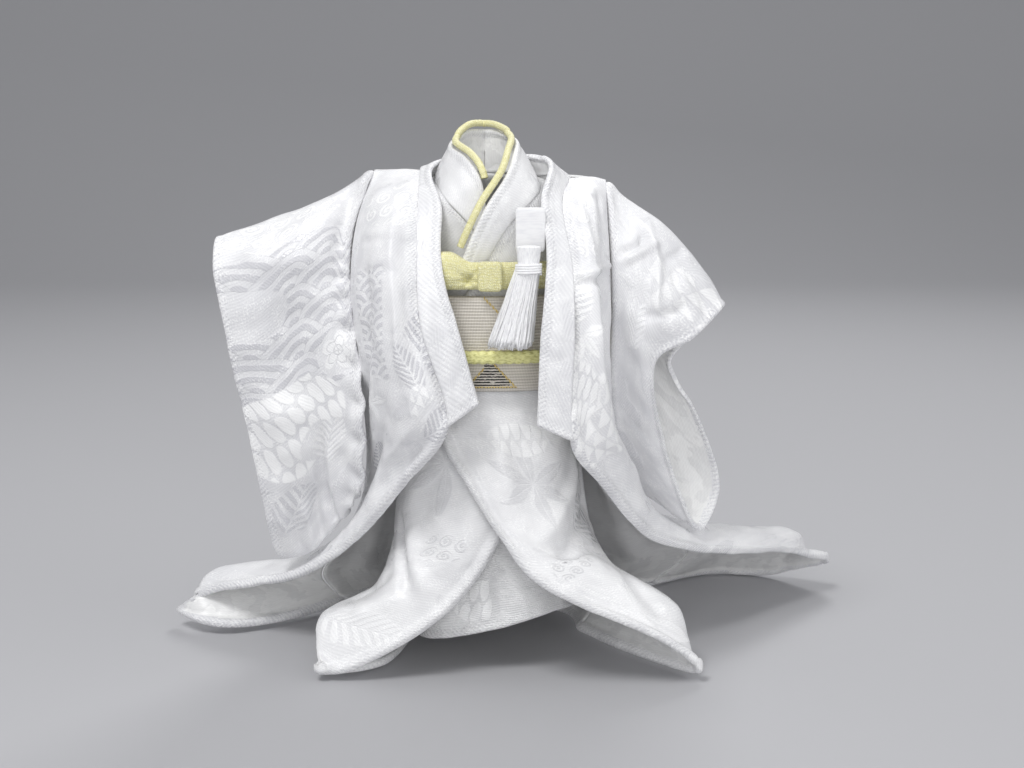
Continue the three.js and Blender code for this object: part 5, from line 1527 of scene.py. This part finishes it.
FRONT_FOLDS = (
    {"at": 0.34, "to": 0.4, "width": 0.09, "depth": 0.9, "from": 0.05, "until": 0.62},
    {"at": 0.66, "to": 0.62, "width": 0.1, "depth": -1.0, "from": 0.12, "until": 0.7},
)
BACK_FOLDS = (
    {"at": 0.3, "to": 0.36, "width": 0.1, "depth": -1.1, "from": 0.3, "until": 1.1},
    {"at": 0.62, "to": 0.66, "width": 0.1, "depth": 1.0, "from": 0.35, "until": 1.1},
)
KIMONO_FOLDS = ({"at": 0.6, "to": 0.66, "width": 0.12, "depth": -0.5, "from": 0.5, "until": 0.95},)


@dataclass
class Robe:
    """The long outer robe, worn open: its panels, collar and wide hanging sleeves."""

    damask: Damask = field(default_factory=Damask)
    collar_damask: Damask = field(default_factory=lambda: Damask(twill=0.58, slant=-35.0, relief=0.02))
    body: Body = field(default_factory=lambda: Body(
        (ROBE_FRONT_RIGHT, ROBE_FRONT_LEFT), (ROBE_BACK_RIGHT, ROBE_BACK_LEFT), 4))
    slot: str = "robe_brocade"

    def panels(self, inside: Material) -> None:
        """The two fronts and the two backs."""
        for hand, side in ((-1, "right"), (1, "left")):
            front = Shell(
                f"robe_front_{side}_cloth", self.body.front(hand).at, -hand, 110, 200,
                edges={"first": ROBE_EDGE, "bottom": ROLLED}, folds=FRONT_FOLDS, corner=3.2,
                creases=CREASES[f"robe_front_{side}"], seed=3 + hand)
            face = self.damask.material(f"damask_front_{side}", PATCHES[f"robe_front_{side}"])
            piece = dressed(front.build([face, inside]), (f"robe_front_{side}",))
            CUTS[f"robe_front_{side}"].declare(piece, "draped")
            back = Shell(
                f"robe_back_{side}_cloth", self.body.back(hand).at, -hand, 90, 150,
                edges={"bottom": ROLLED}, folds=BACK_FOLDS, seed=7 + hand)
            face = self.damask.material(f"damask_back_{side}", PATCHES[f"robe_back_{side}"])
            piece = dressed(back.build([face, inside]), (f"robe_back_{side}",))
            CUTS[f"robe_back_{side}"].declare(piece, "draped")

    def collar(self, inside: Material) -> None:
        """The collar band."""
        band = Band(self.body.collar_seam(4 / 9), ROBE_COLLAR)
        shell = Shell("robe_collar_cloth", band.at, 1, 30, 240,
                      edges={"last": TURNED, "top": TURNED, "bottom": TURNED}, seed=11)
        face = self.collar_damask.material("damask_collar", ())
        piece = dressed(shell.build([face, inside]), ("robe_collar",))

    def sleeves(self, inside: Material) -> None:
        """The two sleeves: flattened tubes, open towards the body and at the wrist."""
        for hand, side, rows in ((-1, "right", SLEEVE_RIGHT), (1, "left", SLEEVE_LEFT)):
            shell = Shell(
                f"robe_sleeve_{side}_cloth", Lofted(rows, closed=True).at, hand, 220, 80, closed=True,
                edges={"top": FOLDED, "bottom": TURNED}, seed=15 + hand,
                creases=CREASES[f"robe_sleeve_{side}"])
            face = self.damask.material(f"damask_sleeve_{side}", PATCHES[f"robe_sleeve_{side}"])
            piece = dressed(shell.build([face, inside]), (f"robe_sleeve_{side}",))
            CUTS[f"robe_sleeve_{side}"].declare(piece, "hung")

    def build(self, inside: Material) -> None:
        """All of it."""
        self.panels(inside)
        self.collar(inside)
        self.sleeves(inside)


@dataclass
class Kimono:
    """The inner kimono, wrapped left over right: panels, collar with piping, and short sleeves."""

    damask: Damask = field(default_factory=lambda: Damask(
        deep=(198, 198, 202), twill=0.38, slant=68.0, relief=0.01))
    body: Body = field(default_factory=lambda: Body(
        (KIMONO_FRONT_RIGHT, KIMONO_FRONT_LEFT), (KIMONO_BACK_RIGHT, KIMONO_BACK_LEFT), 3))
    piping: Crepe = field(default_factory=Crepe)
    piping_radius: float = 0.52
    piping_gap: float = 0.36
    slot: str = "kimono_satin"

    def panels(self, inside: Material) -> None:
        """The two fronts and the two backs."""
        for hand, side in ((-1, "right"), (1, "left")):
            front = Shell(
                f"kimono_front_{side}_cloth", self.body.front(hand).at, -hand, 110, 190,
                edges={"first": KIMONO_EDGE, "bottom": ROLLED}, folds=KIMONO_FOLDS, corner=3.2,
                creases=CREASES[f"kimono_front_{side}"], seed=23 + hand, ripple=0.04)
            face = self.damask.material(f"satin_front_{side}", PATCHES[f"kimono_front_{side}"])
            piece = dressed(front.build([face, inside]), (f"kimono_front_{side}",))
            CUTS[f"kimono_front_{side}"].declare(piece, "draped")
            back = Shell(
                f"kimono_back_{side}_cloth", self.body.back(hand).at, -hand, 50, 110,
                edges={"bottom": TURNED}, seed=27 + hand, ripple=0.04)
            face = self.damask.material(f"satin_back_{side}", ())
            piece = dressed(back.build([face, inside]), (f"kimono_back_{side}",))
            CUTS[f"kimono_back_{side}"].declare(piece, "draped")

    def collar(self, inside: Material) -> None:
        """The collar band and the piping along its free edge."""
        band = Band(self.body.collar_seam(0.3), KIMONO_COLLAR)
        shell = Shell("kimono_collar_cloth", band.at, 1, 30, 200,
                      edges={"last": TURNED, "top": TURNED, "bottom": TURNED}, seed=31, ripple=0.02)
        face = self.damask.material("satin_collar", ())
        piece = dressed(shell.build([face, inside]), ("kimono_collar",))
        t = np.linspace(0.155, 0.97, 500)
        rim = band.at(np.array([1.0]), t)[:, 0]
        upwards = unit(rim - band.at(np.array([0.8]), t)[:, 0])
        wide = 0.02
        across = rim - band.at(np.array([1 - wide]), t)[:, 0]
        down = band.at(np.array([1.0]), t + wide)[:, 0] - band.at(np.array([1.0]), t - wide)[:, 0]
        outwards = unit(np.cross(across, down))
        line = rim + upwards * (self.piping_radius + self.piping_gap) - outwards * 0.5
        ahead = unit(np.gradient(line, axis=0))
        height = unit(upwards - ahead * (upwards * ahead).sum(axis=1, keepdims=True))
        run = run_along(line)
        swell = self.piping_radius * (1 + 0.03 * np.sin(run * 2 * np.pi / 0.75))
        angle = full_turn(16)
        ring = np.stack([np.cos(angle), np.sin(angle)], axis=-1)
        points, faces, flat = carried(
            line, np.cross(height, ahead), height, ring[None] * swell[:, None, None], ring=False)
        piece = put_mesh("collar_piping", points, faces, flat, [self.piping.material("piping_silk")])
        dressed(piece, ("kimono_collar_piping",))

    def sleeves(self, inside: Material) -> None:
        """The plain short sleeves inside the robe's."""
        face = self.damask.material("satin_sleeves", ())
        for hand, side, rows in ((-1, "right", KIMONO_SLEEVE_RIGHT), (1, "left", KIMONO_SLEEVE_LEFT)):
            shell = Shell(
                f"kimono_sleeve_{side}_cloth", Lofted(rows, closed=True).at, hand, 80, 40, closed=True,
                edges={"bottom": TURNED}, seed=35 + hand, ripple=0.03, half=0.2)
            piece = dressed(shell.build([face, inside]), (f"kimono_sleeve_{side}",))
            CUTS[f"kimono_sleeve_{side}"].declare(piece, "hung")

    def build(self, inside: Material) -> None:
        """All of it."""
        self.panels(inside)
        self.collar(inside)
        self.sleeves(inside)


# ---------------------------------------------------------------- the underskirt and the belt


@dataclass
class Underskirt:
    """The shiny damask skirt under the kimono."""

    damask: Damask = field(default_factory=lambda: Damask(
        deep=(190, 190, 192), ground_rough=0.3, figure_rough=0.2, twill=0.5, slant=90.0, relief=0.05))

    def build(self, inside: Material) -> None:
        """The skirt as a closed loop of cloth."""
        shell = Shell("underskirt_cloth", Lofted(UNDERSKIRT, closed=True).at, -1, 200, 70, closed=True,
                      edges={"bottom": TURNED}, creases=CREASES["underskirt"], seed=41)
        face = self.damask.material("damask_underskirt", PATCHES["underskirt"])
        piece = dressed(shell.build([face, inside]), ("underskirt",))
        CUTS["underskirt"].declare(piece, "hung")


@dataclass
class Belt:
    """The belt with its cord, and the sash over its top edge with its knot."""

    around: Lofted = field(default_factory=lambda: Lofted(BELT, closed=True))
    weave: BeltCloth = field(default_factory=BeltCloth)
    sash_silk: Crepe = field(default_factory=lambda: Crepe(grain=0.36, relief=0.12))
    braid: Braid = field(default_factory=Braid)
    cord_level: float = -25.4
    cord_half: Pair = (1.05, 0.75)
    sash_level: float = -13.9
    sash_half: Pair = (1.95, 0.75)
    dimple: Pair = (-3.2, -0.5)
    knot_middle: Place = (-0.1, -14.55, -13.9)
    knot_half: Place = (1.75, 0.85, 2.1)

    def line(self, count: int, stand_off: float, level: float) -> tuple[Array, Array]:
        """A path round the belt at a level, standing off from it, and its outward directions."""
        t = np.arange(count) / count
        row = self.around.at(t, np.array([0.49, 0.5, 0.51]))
        across = np.roll(row[1], -1, axis=0) - np.roll(row[1], 1, axis=0)
        outwards = -np.cross(across, row[2] - row[0])
        outwards[:, 2] = 0
        outwards = unit(outwards)
        centre = row[1] + outwards * stand_off
        centre[:, 2] = level
        return centre, outwards

    def band(self, inside: Material) -> None:
        """The belt itself."""
        soft = Edge(rounding=0.5)
        shell = Shell("belt_cloth", self.around.at, -1, 160, 40, closed=True, seed=51, ripple=0.02,
                      half=0.45, edges={"top": soft, "bottom": soft})
        face = self.weave.material("belt_weave", BELT_TRIANGLE, BELT_STROKE)
        piece = dressed(shell.build([face, inside]), ("obi",))
        CUTS["obi"].declare(piece, "stretched", ("kimono_front_left_cloth",))

    def cord(self) -> None:
        """The braided cord: two rows of plaits that slant towards its middle.

        The ring's radius swells as |sin| of the run along the cord, slanted by the place across it.
        """
        centre, outwards = self.line(900, self.cord_half[1] + 0.2, self.cord_level)
        run = run_along(centre)
        total = run[-1] + np.linalg.norm(centre[0] - centre[-1])
        plaits = round(total / 1.25)
        angle = full_turn(24)
        x, y = self.cord_half[0] * np.cos(angle), self.cord_half[1] * np.sin(angle)
        slant = np.abs(x)[None] * 0.62
        phase = np.pi * (run[:, None] / total * plaits + slant)
        row = np.abs(np.cos(angle * 2 + np.pi / 2))[None] ** 0.5
        swell = 0.78 + 0.2 * np.abs(np.sin(phase)) * row + 0.06 * row
        ring = np.stack([x * swell, y * swell], axis=-1)
        upwards = alike([0.0, 0.0, 1.0], centre)
        points, faces, flat = carried(centre, upwards, outwards, ring, ring=True)
        piece = put_mesh("belt_cord", points, faces, flat, [self.braid.material("braided_silk")])
        dressed(piece, ("obi_cord",))

    def sash(self) -> None:
        """The sash: a flat band round the belt's top edge, and full on the right beside its knot.

        The full part is gathered into a dimple, with pleats that run out from it.
        """
        count = 480
        centre, outwards = self.line(count, -0.35, self.sash_level)
        across = centre[:, :1] - self.dimple[0]
        front = (centre[:, 1:2] < 0).astype(float)
        full = front * smooth((-0.9 - centre[:, :1]) / 1.6) * smooth((centre[:, :1] + 17.0) / 6.0)
        angle = full_turn(56)
        square = (np.abs(np.cos(angle)) ** 3 + np.abs(np.sin(angle)) ** 3) ** (-1 / 3)
        lump = full * smooth((-across + 0.6) / 3.4)
        x = (self.sash_half[0] + 0.75 * lump) * np.cos(angle) * square + 0.7 * lump
        y = (self.sash_half[1] + 0.25 * full + 0.8 * lump) * np.sin(angle) * square
        below = x - self.dimple[1]
        away = np.hypot(across, below)
        faces_out = front * (np.sin(angle) > 0)[None]
        pleats = 0.2 * np.sin(7.0 * np.arctan2(below, across + 1e-6)) * np.exp(-away / 1.8)
        y = y + faces_out * (full * pleats - 1.1 * np.exp(-((away / 0.62) ** 2)))
        ring = np.stack([x, y], axis=-1)
        upwards = alike([0.0, 0.0, 1.0], centre)
        points, faces, flat = carried(centre, upwards, outwards, ring, ring=True)
        silk = self.sash_silk.material("sash_silk")
        piece = put_mesh("belt_sash", points, faces, flat, [silk])
        dressed(piece, ("obi_sash",))
        self.knot(silk)

    def knot(self, silk: Material) -> None:
        """The knot: the band's flat fold, which ends in a straight edge beside the dimple."""
        points, faces, flat = cushion(self.knot_middle, self.knot_half, 60, 64, 7.0)
        piece = put_mesh("belt_sash_knot", points, faces, flat, [silk])
        dressed(piece, ("obi_sash_knot",))

    def build(self, inside: Material) -> None:
        """All of it."""
        self.band(inside)
        self.sash()
        self.cord()


def cushion(middle: Place, half: Place, rings: int, sides: int,
            power: float, lift: Callable[[Array, Array], Array] | None = None) -> tuple[Array, Array, Array]:
    """A soft, squashed ball: rings stacked along X whose girth is (1 - |x|^p)^(1/p).

    Args:
        middle: its centre, in millimetres.
        half: its half sizes along X, Y and Z.
        rings: how many rings.
        sides: the points of each.
        power: 2 for a ball and more for a fuller, squarer one.
        lift: a factor on the girth by the place along X and the angle.

    Returns:
        The points, quads and flat places, as carried gives them.
    """
    along = np.sin(np.linspace(-0.5, 0.5, rings) * np.pi) * 0.9995
    girth = (1 - np.abs(along) ** power) ** (1 / power)
    angle = full_turn(sides)
    square = (np.abs(np.cos(angle)) ** power + np.abs(np.sin(angle)) ** power) ** (-1 / power)
    factor = 1.0 if lift is None else lift(along[:, None], angle[None])
    x = half[1] * girth[:, None] * np.cos(angle) * square * factor
    y = half[2] * girth[:, None] * np.sin(angle) * square * factor
    centres = np.array(middle) + along[:, None] * np.array([half[0], 0, 0])
    across = alike([0.0, 1.0, 0.0], centres)
    up = alike([0.0, 0.0, 1.0], centres)
    return carried(centres, across, up, np.stack([x, y], axis=-1), ring=False)


@dataclass
class DaggerCase:
    """The flat silk bag tucked in at the breast."""

    middle: Place = (5.6, -13.6, -7.4)
    half: Place = (2.1, 0.6, 3.1)
    silk: Floss = field(default_factory=lambda: Floss(fibre=0.3, relief=0.012, shade=(244, 244, 245)))

    def build(self) -> None:
        """The bag, softly squared."""
        points, faces, flat = cushion(self.middle, self.half, 60, 72, 11.0)
        piece = put_mesh("dagger_case_silk", points, faces, flat, [self.silk.material("case_silk")])
        dressed(piece, ("dagger_case",))


@dataclass
class Tassel:
    """The tassel: a wound head, a wrapped neck and fine hanging strands."""

    head: Place = (5.3, -16.8, -10.8)
    radius: float = 1.75
    tall: float = 1.5
    depth: float = 0.62
    wrap_level: float = -12.5
    wrap_radius: float = 1.8
    wrap_turns: int = 4
    strands: int = 244
    strand_radius: float = 0.17
    top: float = -12.0
    length: float = 12.0
    spread: float = 1.75
    lean: float = -2.6
    floss: Floss = field(default_factory=Floss)

    def crown(self, silk: Material) -> bpy.types.Object:
        """The head: a dome of wound floss, its radius ribbed by the threads."""
        s = np.linspace(1.0, -1.0, 60)
        level = self.head[2] + s * self.tall
        radius = self.radius * (0.9 + 0.08 * s) * np.sqrt(np.clip((1.01 - s) / 0.16, 0.003, 1))
        angle = full_turn(96)
        ribs = 1 + 0.04 * np.sin(30 * angle + 1.4 * np.sin(3 * s[:, None]))
        girth = np.stack([np.cos(angle) * ribs, self.depth * np.sin(angle) * ribs], axis=-1)
        ring = girth * radius[:, None, None]
        centres = np.column_stack([np.full(60, self.head[0]), np.full(60, self.head[1]), level])
        across = alike([1.0, 0.0, 0.0], centres)
        up = alike([0.0, -1.0, 0.0], centres)
        points, faces, flat = carried(centres, across, up, ring, ring=False)
        return put_mesh("tassel_head", points, faces, flat, [silk])

    def wrap(self, silk: Material) -> bpy.types.Object:
        """The wrapping: one thread wound round the neck, level by level."""
        turns = np.linspace(0, self.wrap_turns, 64 * self.wrap_turns)
        angle = turns * 2 * np.pi
        centres = np.column_stack([
            self.head[0] + self.wrap_radius * 0.95 * np.cos(angle),
            self.head[1] - self.wrap_radius * 0.66 * np.sin(angle),
            self.wrap_level + 0.55 - turns * 0.34,
        ])
        ahead = unit(np.gradient(centres, axis=0))
        upwards = alike([0.0, 0.0, 1.0], centres)
        across = unit(np.cross(upwards, ahead))
        around = full_turn(10)
        ring = 0.2 * np.stack([np.cos(around), np.sin(around)], axis=-1)
        points, faces, flat = carried(centres, across, unit(np.cross(ahead, across)), ring, ring=False)
        return put_mesh("tassel_wrap", points, faces, flat, [silk])

    def skirt(self, silk: Material) -> bpy.types.Object:
        """The strands: each leaves the neck, leans and spreads as it falls, and waves a little."""
        index = np.arange(self.strands)
        golden = np.pi * (3 - np.sqrt(5))
        r = np.sqrt((index + 0.5) / self.strands)[:, None]
        ca, sa = np.cos(index * golden)[:, None], np.sin(index * golden)[:, None]
        rng = np.random.default_rng(5)
        drop = self.length * (0.92 + 0.08 * rng.random((self.strands, 1)))
        t = np.linspace(0, 1, 15)[None]
        sway = rng.uniform(-1, 1, (self.strands, 2))
        phase = rng.uniform(0, 6.28, (self.strands, 1))
        x = self.head[0] + 1.55 * r * ca + (self.spread * r * ca * 0.9 + self.lean) * t
        x = x + 0.12 * np.sin(9 * t + phase) * t + 0.25 * sway[:, :1] * t**2
        y = self.head[1] + 0.9 * r * sa + (0.1 + 0.3 * r * sa) * t + 0.12 * sway[:, 1:] * t
        z = self.top - drop * t
        centres = np.stack(np.broadcast_arrays(x, y, z), axis=-1)
        ahead = unit(np.gradient(centres, axis=1))
        across = unit(np.cross(np.array([0.0, -1.0, 0.0]), ahead))
        up = np.cross(ahead, across)
        corner = np.array([0, 1, 2, 3]) * np.pi / 2
        width = self.strand_radius * np.where(t > 0.97, 0.5, 1.0)[..., None, None]
        rings = centres[:, :, None] + width * (
            across[:, :, None] * np.cos(corner)[:, None] + up[:, :, None] * np.sin(corner)[:, None])
        count, steps = rings.shape[:2]
        base = (np.arange(count) * steps * 4)[:, None, None]
        row, side = np.arange(steps - 1)[None, :, None] * 4, np.arange(4)[None, None]
        after = (side + 1) % 4
        near, far = base + row, base + row + 4
        walls = np.stack([near + side, near + after, far + after, far + side], axis=-1).reshape(-1, 4)
        first = (base[:, 0] + np.array([3, 2, 1, 0])).reshape(-1, 4)
        last = (base[:, 0] + (steps - 1) * 4 + np.array([0, 1, 2, 3])).reshape(-1, 4)
        faces = np.concatenate([walls, first, last])
        points = rings.reshape(-1, 3)
        flat = np.stack([index.repeat(steps * 4) * 0.5 + np.tile(np.arange(4) * 0.1, count * steps),
                         points[:, 2]], axis=-1)
        return put_mesh("tassel_strands", points, faces, flat[faces], [silk])

    def core(self, silk: Material) -> bpy.types.Object:
        """The mass of strands behind the loose ones: a leaning cone that widens, ribbed along its fall."""
        t = np.linspace(0.0, 1.0, 70)[:, None]
        angle = full_turn(144)[None]
        ribs = 1 + 0.05 * np.sin(31 * angle + 1.1 * np.sin(5 * t)) + 0.03 * np.sin(47 * angle - 2 * t)
        tuck = np.sqrt(np.clip((1.001 - t) / 0.05, 0.0004, 1))
        wide = (1.5 + self.spread * 0.86 * t) * ribs * tuck
        deep = (0.9 + 0.25 * t) * ribs * tuck
        ring = np.stack([wide * np.cos(angle), deep * np.sin(angle)], axis=-1)
        fall = np.linspace(0.0, 0.95, 70)
        centres = np.column_stack([self.head[0] + self.lean * fall, self.head[1] + 0.1 * fall,
                                   self.top - self.length * fall])
        across = alike([1.0, 0.0, 0.0], centres)
        up = alike([0.0, -1.0, 0.0], centres)
        points, faces, flat = carried(centres, across, up, ring, ring=False)
        return put_mesh("tassel_core", points, faces, flat, [silk])

    def build(self) -> None:
        """All of it."""
        silk = self.floss.material("tassel_floss")
        pieces = (
            (self.crown(silk), ("tassel",)),
            (self.wrap(silk), ()),
            (self.core(silk), ()),
            (self.skirt(silk), ()),
        )
        for piece, nodes in pieces:
            dressed(piece, nodes)


# ---------------------------------------------------------------- the studio


@dataclass(frozen=True)
class Lamp:
    """A soft square lamp that looks at the ensemble."""

    name: str
    place: Place
    size: float
    power: float

    def build(self, aim: Vector) -> None:
        """Hangs the lamp."""
        light = bpy.data.lights.new(self.name, "AREA")
        light.shape, light.size, light.energy = "SQUARE", self.size, self.power
        lamp = bpy.data.objects.new(self.name, light)
        lamp.location = self.place
        lamp.rotation_euler = (aim - Vector(self.place)).to_track_quat("-Z", "Y").to_euler()
        bpy.context.scene.collection.objects.link(lamp)


@dataclass
class Studio:
    """The camera, the lamps and a pale floor."""

    camera_place: Place = (0.003, -0.200, 0.0064)
    camera_dip: float = 10.9
    lens: float = 46.4
    floor_level: float = -0.0747
    floor_half: float = 1.6
    floor_shade: Shade = (182, 182, 185)
    lamps: tuple[Lamp, ...] = (
        Lamp("key", (-0.16, -0.22, 0.42), 0.16, 1.4),
        Lamp("front", (0.04, -0.60, 0.06), 0.44, 1.22),
        Lamp("fill", (0.40, -0.14, 0.14), 0.30, 0.35),
        Lamp("back", (0.10, 0.34, 0.36), 0.20, 0.8),
    )

    def camera(self) -> None:
        """The camera, a little above the shoulders and looking slightly down."""
        data = bpy.data.cameras.new("camera")
        data.sensor_width, data.lens = 36.0, self.lens
        data.clip_start, data.clip_end = 0.005, 20.0
        camera = bpy.data.objects.new("camera", data)
        camera.location = self.camera_place
        camera.rotation_euler = (math.radians(90.0 - self.camera_dip), 0.0, 0.0)
        bpy.context.scene.collection.objects.link(camera)
        bpy.context.scene.camera = camera

    def floor(self) -> None:
        """A plain floor that curves up behind: level, then a quarter circle, then upright."""
        bend = np.linspace(0, np.pi / 2, 24)[1:]
        along = np.concatenate([np.linspace(-1.2, 0.5, 12), 0.5 + 0.4 * np.sin(bend), np.full(6, 0.9)])
        high = np.concatenate([np.zeros(12), 0.4 * (1 - np.cos(bend)), np.linspace(0.5, 1.4, 6)])
        wide = np.linspace(-self.floor_half, self.floor_half, 9)
        level = high[:, None] + self.floor_level
        grid = np.stack(np.broadcast_arrays(wide[None], along[:, None], level), axis=-1)
        rows, columns = grid.shape[:2]
        ident = np.arange(rows * columns).reshape(rows, columns)
        faces = quads_of(ident)
        paper = bpy.data.materials.new("paper")
        paper.use_nodes = True
        shader = next(n for n in paper.node_tree.nodes if n.type == "BSDF_PRINCIPLED")
        shader.inputs["Base Color"].default_value = linear(*self.floor_shade)
        shader.inputs["Roughness"].default_value = 0.8
        floor = put_mesh("floor", grid.reshape(-1, 3) / MM, faces, None, [paper])

    def build(self) -> None:
        """All of it."""
        world = bpy.data.worlds.new("studio")
        world.use_nodes = True
        back = next(n for n in world.node_tree.nodes if n.type == "BACKGROUND")
        back.inputs["Color"].default_value = (0.97, 0.98, 1.0, 1.0)
        back.inputs["Strength"].default_value = 0.44
        bpy.context.scene.world = world
        bpy.context.scene.view_settings.view_transform = "Standard"
        self.floor()
        for lamp in self.lamps:
            lamp.build(Vector((0.0, 0.0, -0.035)))


def main() -> None:
    """Builds the ensemble round its frame."""
    logging.basicConfig(level=logging.INFO, format="%(name)s: %(message)s")
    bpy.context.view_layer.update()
    studio = Studio()
    studio.camera()
    inside = Lining().material("lining_satin")
    Robe().build(inside)
    Kimono().build(inside)
    Underskirt().build(inside)
    Belt().build(inside)
    DaggerCase().build()
    Tassel().build()
    studio.build()


if __name__ == "__main__":
    main()
